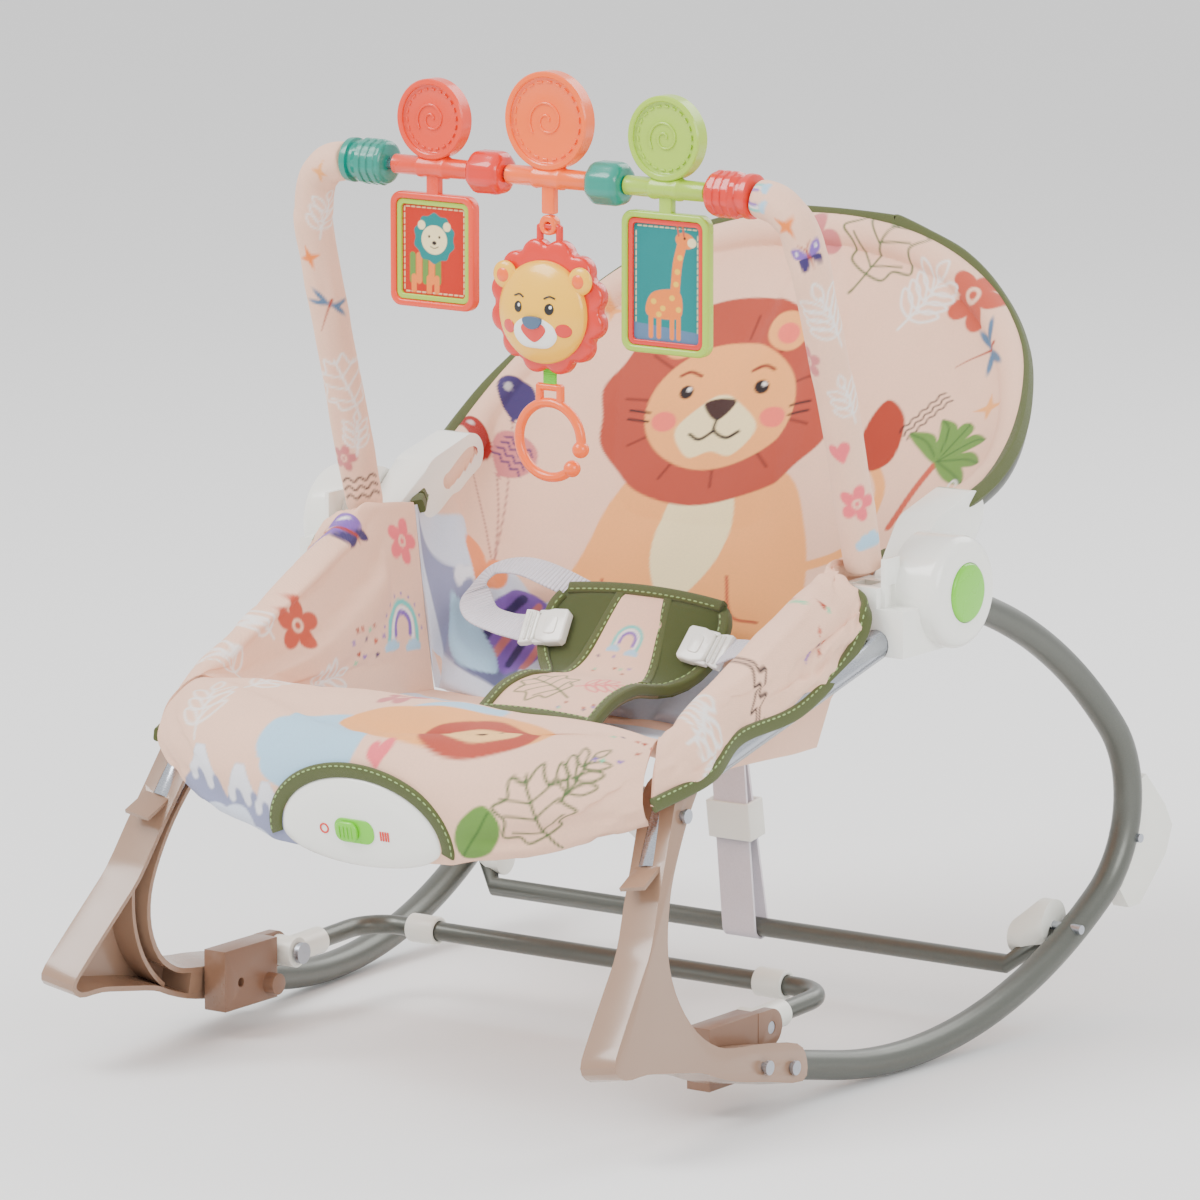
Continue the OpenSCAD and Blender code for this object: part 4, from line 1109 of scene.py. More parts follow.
def binding(name, path, normal, outward, body, wide, thick, over, blend=False):
    """Folded tape over an edge: normal is the cloth's, outward points past the edge."""
    path, normal = np.asarray(path, float), unit(np.broadcast_to(np.asarray(normal, float), np.shape(path)))
    t = unit(np.gradient(path, axis=0))
    side = unit(np.cross(normal, t))
    side = side * np.sign((side * outward).sum(-1, keepdims=True) + 1e-9)
    n = unit(np.cross(t, side))
    n = n * np.sign((n * normal).sum(-1, keepdims=True) + 1e-9)
    middle = path + side * (over - wide / 2)
    points, faces = swept(middle, rounded_rect(wide, thick, min(1.9, thick * 0.48)), side, n)
    body = None if blend else body
    tape = piece(name, points, faces, body, "harness_fabric", SAGE, uv=strap_map(path, wide, thick, 1),
                 sharp=60)
    row = stitches(name + "_stitches", path + side * (over - wide + 1.9), n, body, thick / 2)
    if blend:
        bends(tape)
        bends(row)
    return tape


# Seat panel
seat_p, seat_at, seat_u, seat_v = seat_grid()
seat_n = oriented(seat_p, (200, 132), (0, 0, 1))
seat_rim = 1 - np.abs(seat_u) ** 6
seat_d = 1.5 * noise2(seat_at[..., 0] / 75, seat_at[..., 1] / 60, 3) + 0.7 * noise2(seat_at[..., 0] / 26,
    seat_at[..., 1] / 34, 4)
seat_d = seat_d - 1.3 * crease(seat_at[..., 0] + 0.6 * seat_at[..., 1], seat_at[..., 1], 70, 8) + 3.0
seat_h = (seat_p[..., 2] - UNIT_Z) / UNIT_C
seat_gap = almond_gap(seat_p[..., 0], seat_h)
seat_fan = np.arctan2(seat_h + 10, seat_p[..., 0])
seat_d = seat_d + 1.1 * np.sin(17 * seat_fan + 2 * np.sin(3 * seat_fan)) * np.exp(-np.clip(seat_gap, 0,
    None) / 22) * (seat_v < 0.5)
seat_top = seat_p + seat_n * (seat_d * seat_rim * smooth_step(0, 0.05, seat_v))[..., None]
seat_top = seat_top + puffed(seat_top, seat_n, 6, 0.025, 2.2)
seat_pull = (1 - smooth_step(3, 34, seat_gap)) * (1 - smooth_step(0.38, 0.45, seat_v))
seat_pull_y = (on_unit(seat_p[..., 0], seat_h, 3.2)[..., 1] - seat_top[..., 1]) * seat_pull
seat_top[..., 1] += seat_pull_y
seat_low = seat_p - seat_n * (3 + 5 * seat_rim)[..., None]
seat_low[..., 1] += seat_pull_y
seat_low = seat_low[::12, ::12]
seat_pad = padded_sheet("seat_pad", seat_top, seat_low, "base", "printed_fabric", ("seat_cover",), seat_at)


def both_faces(top, rgb, steps, under="peach"):
    """Colours for a pad's points: the print on top, the plain lining below."""
    low = top[::steps, ::steps].shape
    return np.vstack([rgb, np.tile(INK[under], (low[0] * low[1], 1))])


def seat_print(at):
    art = Artwork(at)
    for x, w, h in ((-128, 66, 46), (-92, 60, 38), (-70, 50, 30)):
        mountain(art, (x, 4), w, h + 14)
    cloud(art, (-104, 6), 66, "cloud")
    cloud(art, (-46, 74), 74, "sky")
    art.shape([(-76, 56), (-40, 44), (-8, 60), (-4, 92), (-30, 104), (-66, 92)], "sky")
    art.oval((34, 118), (34, 16), "sky", 10)
    leaf_spray(art, (-142, 88), 46, 18, "white", 1.6)
    leaf_spray(art, (-120, 130), 40, -20, "white", 1.6)
    # a resting lion, seen foreshortened
    art.shape([(-34, 96), (8, 82), (60, 78), (104, 88), (112, 112), (60, 122), (0, 120)], "lion")
    art.shape([(30, 84), (62, 74), (98, 84), (104, 104), (72, 116), (36, 108)], "mane")
    art.shape([(42, 88), (66, 82), (90, 90), (92, 102), (66, 108), (46, 100)], "lion_light")
    art.oval((58, 92), 2.2, "black")
    art.oval((80, 95), 2.2, "black")
    art.oval((68, 90), (4, 2.4), "nose")
    flower(art, (-16, 132), 26, "rose", 20)
    heart(art, (14, 74), 15, "pink", 15)
    monstera(art, (124, 50), 56, 25, "outline", None, 1.7)
    art.shape([(78, 16), (96, 22), (104, 40), (92, 52), (76, 40), (72, 26)], "leaf")
    art.line([(76, 18), (88, 34), (96, 48)], 1.2, "leaf_dark")
    leaf_spray(art, (146, 76), 40, -25, "outline", 1.4)
    confetti(art, (160, 98), (40, 30), 9, 5)
    balloon(art, (-92, 150), 30, "plum", 20, "rose")
    art.oval((-120, 168), (16, 9), "sky", 15)
    balloon(art, (-60, 176), 34, "rose", 30)
    balloon(art, (20, 200), 34, "violet", -20)
    cloud(art, (70, 176), 90, "sky")
    cloud(art, (-30, 236), 110, "cloud")
    cloud(art, (110, 240), 90, "cloud")
    art.shape([(-160, 250), (-90, 214), (-20, 262), (40, 226), (110, 262), (160, 236), (170, 320), (-170,
        320)], "cloud")
    return art.rgb


paint(seat_pad, both_faces(seat_top, seat_print(seat_at), 12))

# Wings
wing_p, wing_at, wing_s, wing_t = wing_grid()
wing_n = oriented(wing_p, (96, 100), (0, 0, 1))
WING_UNDER = np.array([(3, 0, -4), (4, 0, -2), (1.5, 0, -5), (-1, 0, -5), (-2.5, 0, -3), (-2.5, 0, 0)],
                      float)


def wing_print(at, side):
    art = Artwork(at)
    if side < 0:
        flower(art, (201, 60), 34, "terracotta", 12)
        flower(art, (318, 100), 30, "pink", -8)
        butterfly(art, (272, 118), 27, 15)
        rainbow(art, (300, 46), 44, -12)
        confetti(art, (262, 42), (44, 26), 12, 2)
        leaf_spray(art, (132, 38), 44, 30, "white", 1.7)
        leaf_spray(art, (222, 18), 40, -60, "white", 1.7)
        leaf_spray(art, (168, 66), 34, 40, "white", 1.7)
        confetti(art, (216, 136), (60, 24), 8, 7)
    else:
        for x in (0, 9):
            path = [(200 - x - 3 * k + (4 if k % 2 else -4), 66 + 5.4 * k) for k in range(8)]
            art.line(path, 1.7, "black")
        cloud(art, (272, 100), 26, "sky")
        art.oval((270, 104), (5, 4), "aqua")
        confetti(art, (268, 110), (22, 14), 5, 3)
        confetti(art, (244, 118), (34, 26), 9, 4)
        leaf_spray(art, (134, 42), 40, -62, "white", 1.9)
        leaf_spray(art, (122, 66), 26, -70, "white", 1.9)
    return art.rgb


wing_puff = None
for side, word in ((-1, "left"), (1, "right")):
    bumps = 1.6 * noise2(wing_at[..., 0] / 60 + side * 5, wing_at[..., 1] / 40, 11) + 0.7 * noise2(
        wing_at[..., 0] / 24, wing_at[..., 1] / 30 + side * 9, 12)
    bumps = bumps - 1.8 * crease(wing_at[..., 0] - 0.8 * wing_at[..., 1] + side * 31, wing_at[..., 1], 52,
                                 13)
    hold = np.minimum(smooth_step(0, 0.1, wing_t), smooth_step(0, 0.08, 1 - wing_t)) * smooth_step(0, 0.05,
        wing_s) * (
        smooth_step(0, 0.05, 1 - wing_s) * (1 - 0.75 * smooth_step(0.8, 0.86, wing_s)))
    top = wing_p + wing_n * ((bumps + 1.5) * hold)[..., None]
    if wing_puff is None:
        wing_puff = puffed(wing_p, wing_n, 4, 0.03, 1.6)
    top = mirrored(top + wing_puff * (1 - 0.8 * smooth_step(0.78, 0.86, wing_s))[..., None], side)
    inner = np.stack([np.interp(wing_t, WING_T, WING_UNDER[:, k]) for k in range(3)], -1)
    low = mirrored((wing_p + inner)[::8, ::8], side)
    wing = padded_sheet("side_pad_" + word, top, low, "base", "wing_fabric", ("wing_" + word,), wing_at)
    paint(wing, both_faces(top, wing_print(wing_at, side), 8))
    hem = mirrored(wing_surface(np.linspace(0.0, 0.86, 110), np.ones(110)), side)
    inward = mirrored(wing_surface(np.linspace(0.0, 0.86, 110), np.full(110, 0.93)), side)
    away = unit(hem - inward)
    flat = np.cross(unit(np.gradient(hem, axis=0)), away)
    flat = flat * np.sign((flat * [side, 0, 0.4]).sum(-1, keepdims=True))
    binding("side_binding_" + word, hem, flat, away, "base", 9.5, 4.6, 4.0)

# Backrest
def back_point(x, t, n):
    c, s = math.cos(RECLINE), math.sin(RECLINE)
    return (x, HUB_Y + t * c - n * s, HUB_Z + t * s + n * c)


# Middle line of the right half of the backrest's tube, from its bracket to the top
half_tube = [back_point(194, 48, 0), back_point(194, 78, 0), (199, 434, 351), (202, 454, 362), (199, 476,
    378),
             (190, 498, 397), (173, 522, 421), (150, 541, 444), (120, 556, 463), (84, 566, 478), (44, 571,
                 487)]
back_tube = curve([*half_tube, (0, 573, 490), *[(-x, y, z) for x, y, z in half_tube[::-1]]], 6)
back_p, back_at, back_u, back_v = back_grid()
back_n = oriented(back_p, (160, 144), (0, -0.5, 0.8))
back_rim = 1 - np.abs(back_u) ** 10
back_d = 2.0 * noise2(back_at[..., 0] / 85, back_at[..., 1] / 95, 21) + 0.8 * noise2(
    back_at[..., 0] / 34, back_at[..., 1] / 40, 22)
back_d = back_d - 1.7 * crease(back_at[..., 0] + 0.35 * back_at[..., 1], 0.6 * back_at[..., 1], 64, 23)
back_d = back_d + 5.5 * np.exp(-((np.abs(back_u) * 200 - 186) / 11) ** 2) * smooth_step(0.12, 0.3,
    back_v) + 2.0
back_hold = back_rim * smooth_step(0.0, 0.08, back_v) * smooth_step(0, 0.05, 1 - back_v)
back_top = back_p + back_n * (back_d * back_hold)[..., None]
back_top = back_top + puffed(back_top, back_n, 8, 0.022, 1.6)


def wrapped(p, n, clear):
    """Cloth points moved out along their normals to at least clear mm from the tube's middle line."""
    gap, away = np.full(p.shape[:-1], 1e9), np.zeros_like(p)
    for a, b in zip(back_tube[:-1], back_tube[1:]):
        t = np.clip(((p - a) @ (b - a)) / ((b - a) @ (b - a)), 0, 1)
        off = p - a - t[..., None] * (b - a)
        far = np.linalg.norm(off, axis=-1)
        nearer = far < gap
        gap[nearer], away[nearer] = far[nearer], off[nearer]
    along = (away * n).sum(-1)
    lift = np.sqrt(np.clip(along ** 2 + clear ** 2 - gap ** 2, 0, None)) - along
    return p + n * np.where(gap < clear, lift, 0)[..., None]


back_top = wrapped(back_top, back_n, 11.5)
back_low = (back_p - back_n * (3 + 5 * back_hold)[..., None])[::16, ::16]
back_pad = padded_sheet("backrest_pad", back_top, back_low, None, "printed_fabric", ("backrest_cover",),
                        back_at)
bends(back_pad)


def back_print(at):
    art = Artwork(at)
    # lower left: clouds, mountains and striped balloons; lower right: clouds and mountains
    art.shape([(-178, 88), (-160, 74), (-132, 92), (-104, 84), (-80, 104), (-52, 90), (-30, 60), (-34, 0),
               (-178, 0)], "cloud")
    for x, w, h, ink in ((-150, 60, 66, "rock"), (-112, 54, 52, "rock_dark"), (30, 64, 40, "rock"), (92, 76,
        60, "rock"),
                         (140, 66, 78, "rock_dark")):
        mountain(art, (x, 12), w, h, ink)
    art.shape([(-20, 52), (20, 70), (60, 56), (100, 84), (140, 100), (178, 96), (178, 0), (-20, 0)],
              "cloud")
    mountain(art, (84, 20), 70, 70, "rock")
    mountain(art, (132, 26), 60, 84, "rock_dark")
    art.shape([(60, 40), (100, 52), (140, 44), (176, 60), (176, 0), (60, 0)], "sky")
    art.shape([(-136, 62), (-120, 30), (-96, 26), (-84, 48), (-92, 80), (-120, 86)], "violet")
    for k, ink in enumerate(("plum", "rose", "plum", "rose")):
        x = -130 + 13 * k
        art.line([(x, 32), (x + 3, 56), (x + 12, 80)], 6, ink)
    art.shape([(-160, 36), (-140, 14), (-110, 20), (-118, 34), (-140, 44)], "sky")
    lion_portrait(art, (-38, 256), 170, 10)
    flower(art, (-10, 374), 40, "rose", 10)
    flower(art, (129, 348), 44, "terracotta", -8)
    monstera(art, (46, 384), 72, -24, "outline", None, 1.6)
    monstera(art, (-112, 346), 56, 30, "white", None, 1.7)
    leaf_spray(art, (88, 346), 56, -28, "white", 1.7, 4)
    waves(art, (122, 258), 38, 54)
    dragonfly(art, (148, 308), 44, -62)
    star(art, (170, 262), 24, "lion", 10)
    star(art, (-150, 312), 20, "lion", 10)
    palm(art, (143, 212), 80, -30)
    leaf_spray(art, (172, 176), 44, 12, "white", 1.7)
    flower(art, (150, 140), 30, "pink", 0)
    strings = (-146, 84)
    balloon(art, (-186, 217), 36, "plum", 14, None, strings)
    balloon(art, (-196, 156), 34, "red", 10, None, strings)
    balloon(art, (-171, 172), 42, "rose", -6, "plum", strings)
    heart(art, (-151, 76), 34, "heart", 8)
    confetti(art, (-40, 402), (120, 20), 8, 9)
    return art.rgb


paint(back_pad, both_faces(back_top, back_print(back_at), 16))
rim_v = np.linspace(0.05, 1, 50)
top_u = np.linspace(-0.9, 0.9, 12)


def rim_at(across, down):
    """The panel's edge from one lower corner over the top to the other, drawn in by the given fractions."""
    side = np.full(50, across)
    line = np.vstack([back_panel(-side, rim_v * down), back_panel(top_u * across, np.full(12, down)),
                      back_panel(side, rim_v * down)[::-1]])
    return catmull(line, np.linspace(0, len(line) - 1, 440))


rim, rim_inner = rim_at(1.0, 1.0), rim_at(0.95, 0.98)
rim_away = unit(rim - rim_inner)
rim_n = np.cross(unit(np.gradient(rim, axis=0)), rim_away)
rim_n = rim_n * np.sign((rim_n * [0, -0.5, 0.87]).sum(-1, keepdims=True))
binding("backrest_binding", rim, rim_n, rim_away, "backrest", 10, 9, 3.0, blend=True)


# ---------- vibration unit ----------
def almond_outline(g, n=72):
    a = np.linspace(0, 2 * math.pi, n, endpoint=False)
    b = np.where(np.sin(a) > 0, UNIT_TOP + g, UNIT_LOW + g)
    return np.column_stack([(UNIT_HALF + g) * np.cos(a), b * np.sin(a)])


shell = []
for inset, out in ((0, 0), (0, 2.2), (0.6, 4.4), (3, 6.6), (8, 8.4), (16, 9.6), (30, 10.2), (48, 10.4)):
    drawn_in = 1 - inset / UNIT_HALF
    ring = almond_outline(0) * [drawn_in, 1 if inset < 1 else drawn_in]
    shell.append(on_unit(ring[:, 0], ring[:, 1], out))
shell_points = np.vstack([*shell, on_unit([0], 0, 10.5), on_unit([0], 0, 0)])
shell_faces = ring_faces(len(shell), 72)
shell_faces += [(504 + k, 504 + (k + 1) % 72, 576) for k in range(72)]
shell_faces += [((k + 1) % 72, k, 577) for k in range(72)]
piece("vibration_shell", shell_points, shell_faces, "base", "white_plastic", WHITE, ("vibration_cover",),
      sharp=50)

arch = almond_outline(4.2, 240)
arch = np.vstack([arch[-6:], arch[:127]])
arch_path = on_unit(arch[:, 0], arch[:, 1], 4.6)
arch_out = arch_path - on_unit([0], 4, 4.6)
binding("unit_binding", arch_path, (0, -UNIT_C, -UNIT_S), -arch_out, "base", 10, 3.6, 5.0)


bed = rounded_rect(30, 16, 7, 8) + [-0.5, 7]
piece("switch_slot", *plate(bed, 1.0, lambda x, y, o: on_unit(x, y, 10.2 + o), 0.4), "base", "button_green",
      GREEN)
knob = rounded_rect(16.5, 13, 5.6, 8) + [-5, 7]
parts = [plate(knob, 3.4, lambda x, y, o: on_unit(x, y, 11.0 + o), 1.3)]
for k in range(4):
    rib = rounded_rect(1.2, 8.5, 0.5, 3) + [-9.5 + 3 * k, 7]
    parts.append(plate(rib, 1.2, lambda x, y, o: on_unit(x, y, 13.9 + o), 0.4))
piece("switch_knob", *joined(*parts), "switch", "button_green", GREEN, ("vibration_switch",), sharp=45)
ring_mark = plate(rounded_rect(7, 7, 3.45, 8) + [-24, 6], 0.6, lambda x, y, o: on_unit(x, y, 10.1 + o),
                  0.15,
                  rounded_rect(4.6, 4.6, 2.25, 8) + [-24, 6])
piece("switch_ring_mark", *ring_mark, "base", "toy_red", RED)
marks = [plate(rounded_rect(1.2, 6.4, 0.3, 3) + [19.5 + 1.9 * k, 6], 0.6, lambda x, y, o: on_unit(x, y,
    10.2 + o), 0.15)
         for k in range(4)]
piece("switch_bar_mark", *joined(*marks), "base", "toy_red", RED)


# ---------- harness ----------
# Rows of the crotch pad: half width, y, z
PAD_ROWS = [(44, 226, 217), (44, 250, 229), (44, 275, 233), (45, 296, 230), (50, 308, 230), (60, 320, 237),
            (68, 332, 251),
            (69, 345, 269), (62, 354, 280)]


def pad_surface(u, v):
    q, _ = even_rows([(*r, 0) for r in PAD_ROWS], (1, 2), v)
    sag = 5 * np.abs(u) ** 2 * np.clip((q[..., 0] - 30) / 40, 0, 1)
    return np.stack([q[..., 0] * u, q[..., 1] - 0.4 * sag, q[..., 2] - sag], -1)


pv, pu = np.meshgrid(np.linspace(0, 1, 145), np.linspace(-1, 1, 97), indexing="ij")
crotch = pad_surface(pu, pv)
crotch_n = oriented(crotch, (70, 48), (0, -0.3, 1))
crotch_at = np.stack([crotch[..., 0], np.broadcast_to(cloth_places(crotch)[:, 48:49], pu.shape)], -1)
crotch_d = (2.2 * (1 - np.abs(pu) ** 4) + 0.8 * noise2(crotch_at[..., 0] / 22, crotch_at[..., 1] / 26,
                                                       31)) * smooth_step(
    0, 0.06, pv) * smooth_step(0, 0.06, 1 - pv)
crotch_top = crotch + crotch_n * crotch_d[..., None]
crotch_low = (crotch - 5.5 * crotch_n)[::8, ::8]
pad = padded_sheet("crotch_pad_cover", crotch_top, crotch_low, "base", "harness_fabric", ("crotch_pad",),
                   crotch_at)
art = Artwork(crotch_at, "sage")
strip = [(-70, -5), (70, -5), (70, 74), (34, 80), (29, 90), (18, 150), (18, 200), (-18, 200), (-18, 150),
         (-29, 90),
         (-34, 80), (-70, 74)]
art.shape(strip, "peach", smooth=False)
monstera(art, (-12, 34), 46, 62, "leaf_dark", None, 1.3)
leaf_spray(art, (24, 44), 34, -60, "pink", 1.2)
confetti(art, (26, 16), (30, 16), 7, 11, 2.6)
rainbow(art, (1, 116), 28, -8, False)
confetti(art, (0, 95), (34, 16), 8, 6, 2.6)
paint(pad, both_faces(crotch_top, art.rgb, 8, "sage"))


def pad_line(u_of, v, lift=0.0):
    p = pad_surface(u_of, v)
    dv = pad_surface(u_of, np.clip(v + 0.01, 0, 1)) - pad_surface(u_of, np.clip(v - 0.01, 0, 1))
    n = unit(np.cross(np.tile([1.0, 0, 0], (len(v), 1)), dv))
    n = n * np.sign(n[:, 2:3] + 1e-9)
    return p + n * lift, n


for side, word in ((-1, "left"), (1, "right")):
    v = np.linspace(0.0, 0.97, 90)
    line, n = pad_line(np.full(90, side * 1.0), v, 0.0)
    binding("pad_binding_" + word, line, n, np.array([side, 0, 0]), "base", 8, 7.5, 2.0)
    inner_v = np.linspace(0.5, 0.97, 60)
    half = pad_surface(np.ones(60), inner_v)[:, 0]
    line, n = pad_line(side * np.clip(np.linspace(33, 19, 60) / half, 0, 1), inner_v, 1.6)
    binding("pad_strip_binding_" + word, line, n, np.array([side, 0, 0]), "base", 7, 2.6, 3.0)
v = np.ones(60)
line, n = pad_line(np.linspace(-0.97, 0.97, 60), v)
binding("pad_top_binding", line, n, np.array([0, 0.6, 0.4]), "base", 8, 7.5, 2.5)
line, n = pad_line(np.linspace(-0.97, 0.97, 40), np.zeros(40))
binding("pad_tongue_binding", line, n, np.array([0, -1, 0]), "base", 8, 7.5, 2.0)

# Waist straps, each from the seam between seat and backrest round to its buckle
straps = {
    "right": ([(78, 326, 252), (98, 322, 256), (122, 318, 252), (142, 318, 240), (150, 322, 222)],
              [(0.0, -0.6, 0.8), (0.1, -0.3, 0.95), (0.3, 0.1, 0.95), (0.6, 0.2, 0.75), (0.8, 0.1, 0.6)]),
    "left": ([(-78, 327, 251), (-98, 328, 252), (-120, 334, 256), (-131, 345, 268), (-124, 356, 281), (-104,
        361, 284),
              (-80, 364, 278), (-58, 370, 268)],
             [(0.0, -0.6, 0.8), (-0.1, -0.4, 0.9), (-0.2, -0.25, 0.95), (-0.35, -0.1, 0.93), (-0.1, -0.2,
                 0.97),
              (0.1, -0.3, 0.95), (0.0, -0.4, 0.9), (0.0, -0.45, 0.9)])}
for word, (points, turns) in straps.items():
    path = catmull(np.array(points, float), np.linspace(0, len(points) - 1, 90))
    up = unit(catmull(np.array(turns, float), np.linspace(0, len(turns) - 1, 90)))
    ribbon("waist_webbing_" + word, path, up, 23, 1.7, "base", "webbing", WEBBING,
           ("waist_straps",) if word == "right" else ())


# Side-release buckles: a socket with a waist and a plug with two prongs and a ladder for the webbing
def buckle(sign, word):
    ahead = unit([sign * 0.98, -0.05, -0.1])
    up = unit([0, -0.788, 0.616])
    across = np.cross(up, ahead)
    middle = np.array([sign * 61, 327.0, 253.0])

    def on(x, y, o):
        x, y, o = np.broadcast_arrays(x, y, o)
        return middle + x[..., None] * ahead + y[..., None] * across + o[..., None] * up

    socket = [(-15, -10), (-13, -12.2), (-3, -12.6), (3, -11.2), (6, -9.8), (7, -6), (7, 6), (6, 9.8), (3,
        11.2), (-3, 12.6),
              (-13, 12.2), (-15, 10)]
    shapes = [plate(np.array(socket), 7.6, lambda x, y, o: on(x, y, o - 3.8), 1.5)]
    plug = [(7.4, -8), (9, -11), (14, -12.4), (19, -12.4), (19, 12.4), (14, 12.4), (9, 11), (7.4, 8)]
    shapes.append(plate(np.array(plug), 5.4, lambda x, y, o: on(x, y, o - 2.7), 1.2))
    for y in (-10.9, 10.9):
        prong = rounded_rect(13, 2.6, 1.2, 4) + [2, y]
        shapes.append(plate(prong, 4.6, lambda x, y, o: on(x, y, o - 2.3), 0.8))
    for x in (10.6, 14.2):
        shapes.append(plate(rounded_rect(1.7, 21, 0.8, 4) + [x, 0], 2.2, lambda x, y, o: on(x, y, o + 2.0),
                            0.7))
    shapes.append(plate(rounded_rect(9, 13, 2.5, 5) + [-4, 0], 1.2, lambda x, y, o: on(x, y, o + 3.4), 0.5))
    piece("buckle_" + word, *joined(*shapes), "base", "white_plastic", WHITE,
          ("buckles",) if sign > 0 else (), sharp=40)


buckle(1, "right")
buckle(-1, "left")


# ---------- frame tubes ----------
right_rocker = splayed(walk([(103.4, 364, 46.5), (0, 75, 95.7), (0, 358, 27.1), (38, 1, 0.1)], (140, 36),
                            -11))
for side, word in ((-1, "left"), (1, "right")):
    tube("rocker_rail_" + word, right_rocker, TUBE_R, "base", "frame_grey", TUBE_GREY,
         ("rocker_tube_" + word,), 40, side)
kick = rounded_path([(-181.5, 217, 45.4), (-181.5, KICK_Y + KICK_REACH, 48.1), (181.5, KICK_Y + KICK_REACH,
    48.1),
                     (181.5, 217, 45.4)], 26, 12)
tube("kickstand_loop_tube", kick, THIN_R, "kickstand", "frame_grey", TUBE_GREY, ("kickstand_tube",), 28)


tube("backrest_frame", back_tube, 8.5, "backrest", "frame_grey", TUBE_GREY, ("backrest_tube",), 36)


# ---------- toy bar ----------
ARM_DIR = unit([0, -0.27, 0.963])
ARM = [(195, 284, 412), (193, 253.5, 508), (190, 249, 528), (186, 246, 545), (180, 244.5, 553), (172, 243.5,
    558.5)]

foot = np.array([195.0, 284, 412]) - ARM_DIR * 93
for side, word in ((-1, "left"), (1, "right")):
    path = curve(mirrored([foot, *ARM, (158.5, 243, 561.2)], side), 1.4)
    _, u, w = carried_frames(path)
    t = unit(np.gradient(path, axis=0))
    face = np.array([0.57, -0.82, 0.0])
    ref = unit(face - t * (t @ face)[:, None])
    turned = np.cross(t, ref)
    a = np.linspace(-math.pi, math.pi, 64, endpoint=False)
    at = arc_lengths(path)
    a2, at2 = np.meshgrid(a, at)
    r = 12.6 + 0.9 * noise2(a2 * 1.9 + 3, at2 / 20,
                            41 + side) * np.abs(np.sin(a2 / 2 + 1.4)) + 0.45 * np.sin(
        at2 / 7 + 2.4 * np.sin(a2)) * np.clip(noise2(at2 / 55, a2 * 0.3, 44 + side), 0, 1)
    seam = 0.9 * np.exp(-((np.abs(a2) - math.pi) / 0.1) ** 2)
    r = r + seam
    ends = np.minimum(at2, at[-1] - at2)
    r = r * (1 - 0.1 * np.exp(-ends / 2.2))
    points = path[:, None] + ref[:, None] * (r * np.cos(a2))[..., None] + turned[:,
        None] * (r * np.sin(a2))[..., None]
    m, n = len(path), 64
    faces = ring_faces(m, n) + end_caps(m, n)
    places = np.column_stack([(a2 * 13).ravel(), at2.ravel()])
    sleeve = piece("sleeve_" + word, points.reshape(-1, 3), faces, "toy_bar", "sleeve_fabric", SLEEVE_PRINT,
                   ("arm_sleeve_" + word, "toy_arm_" + word), uv=places)
    art = Artwork(places)
    if side > 0:
        flower(art, (2, 48), 24, "pink", 0)
        heart(art, (-4, 84), 15, "pink", 10)
        leaf_spray(art, (8, 118), 34, 10, "white", 1.3)
        leaf_spray(art, (6, 176), 46, 14, "white", 1.4, 4)
        flower(art, (-16, 146), 20, "rose", 20)
        butterfly(art, (2, 214), 22, 10)
        star(art, (-6, 236), 18, "orange", 12)
        cloud(art, (8, 20), 22, "sky")
        rainbow(art, (2, 264), 26, 10, False)
    else:
        for y in (12, 18, 24):
            art.line([(-13 + 4.4 * k, y + (1.4 if k % 2 else -1.4)) for k in range(7)], 1.4, "black")
        flower(art, (-8, 40), 18, "rose", 0)
        monstera(art, (2, 92), 44, 14, "white", None, 1.5)
        leaf_spray(art, (4, 56), 30, -10, "white", 1.3)
        dragonfly(art, (0, 146), 32, -30)
        star(art, (-6, 184), 18, "orange", 12)
        leaf_spray(art, (8, 214), 36, -14, "white", 1.3)
        star(art, (0, 250), 16, "lion", 30)
        for y in (278, 284):
            art.line([(-10 + 4 * k, y + (1.4 if k % 2 else -1.4)) for k in range(6)], 1.3, "plum")
    art.rgb[np.abs(places[:, 0]) > 13 * 2.7] *= 0.99
    paint(sleeve, art.rgb)
rod = np.array([(-145.0, ROD_Y, ROD_Z), (145.0, ROD_Y, ROD_Z)])
tube("toy_rod_bar", rod, 4.0, "toy_bar", "bright_steel", STEEL, ("toy_rod",), 32)
for side, word, mat, slot in ((-1, "left", TEAL, "toy_teal"), (1, "right", RED, "toy_red")):
    profile = [(124.8, 0), (124.8, 11), (125.8, 13.2), (127, 13.8)]
    for k in range(3):
        x = 128.5 + 5.6 * k
        profile += [(x, 14.0), (x + 0.7, 15.0), (x + 3.8, 15.0), (x + 4.5, 14.0)]
    profile += [(147, 13.6), (148, 12.3), (151, 12.3), (151.6, 14.3), (153, 14.5), (156, 14.2), (156.8,
        12.6), (156.8, 0)]
    points, faces = lathe([(x, r) for x, r in profile], (0, ROD_Y, ROD_Z), 64)
    # grip flats round the cap's body
    d = points - [0, ROD_Y, ROD_Z]
    a = np.arctan2(d[:, 2], d[:, 1])
    body = (points[:, 0] > 128) & (points[:, 0] < 146)
    shrink = 1 - 0.035 * (0.5 + 0.5 * np.cos(10 * a)) * body
    points[:, 1:] = [ROD_Y, ROD_Z] + d[:, 1:] * shrink[:, None]
    piece("bar_cap_" + word, mirrored(points, side), faces, "toy_bar", slot, mat, ("arm_cap_" + word,),
          sharp=50)


def flat_on_rod(x0):
    """Places for things that hang from the rod: x across from x0, height over the rod, out towards the front."""
    def on(x, h, out):
        x, h, out = np.broadcast_arrays(x, h, out)
        return np.stack([x0 + x, ROD_Y - out, ROD_Z + h], -1)
    return on


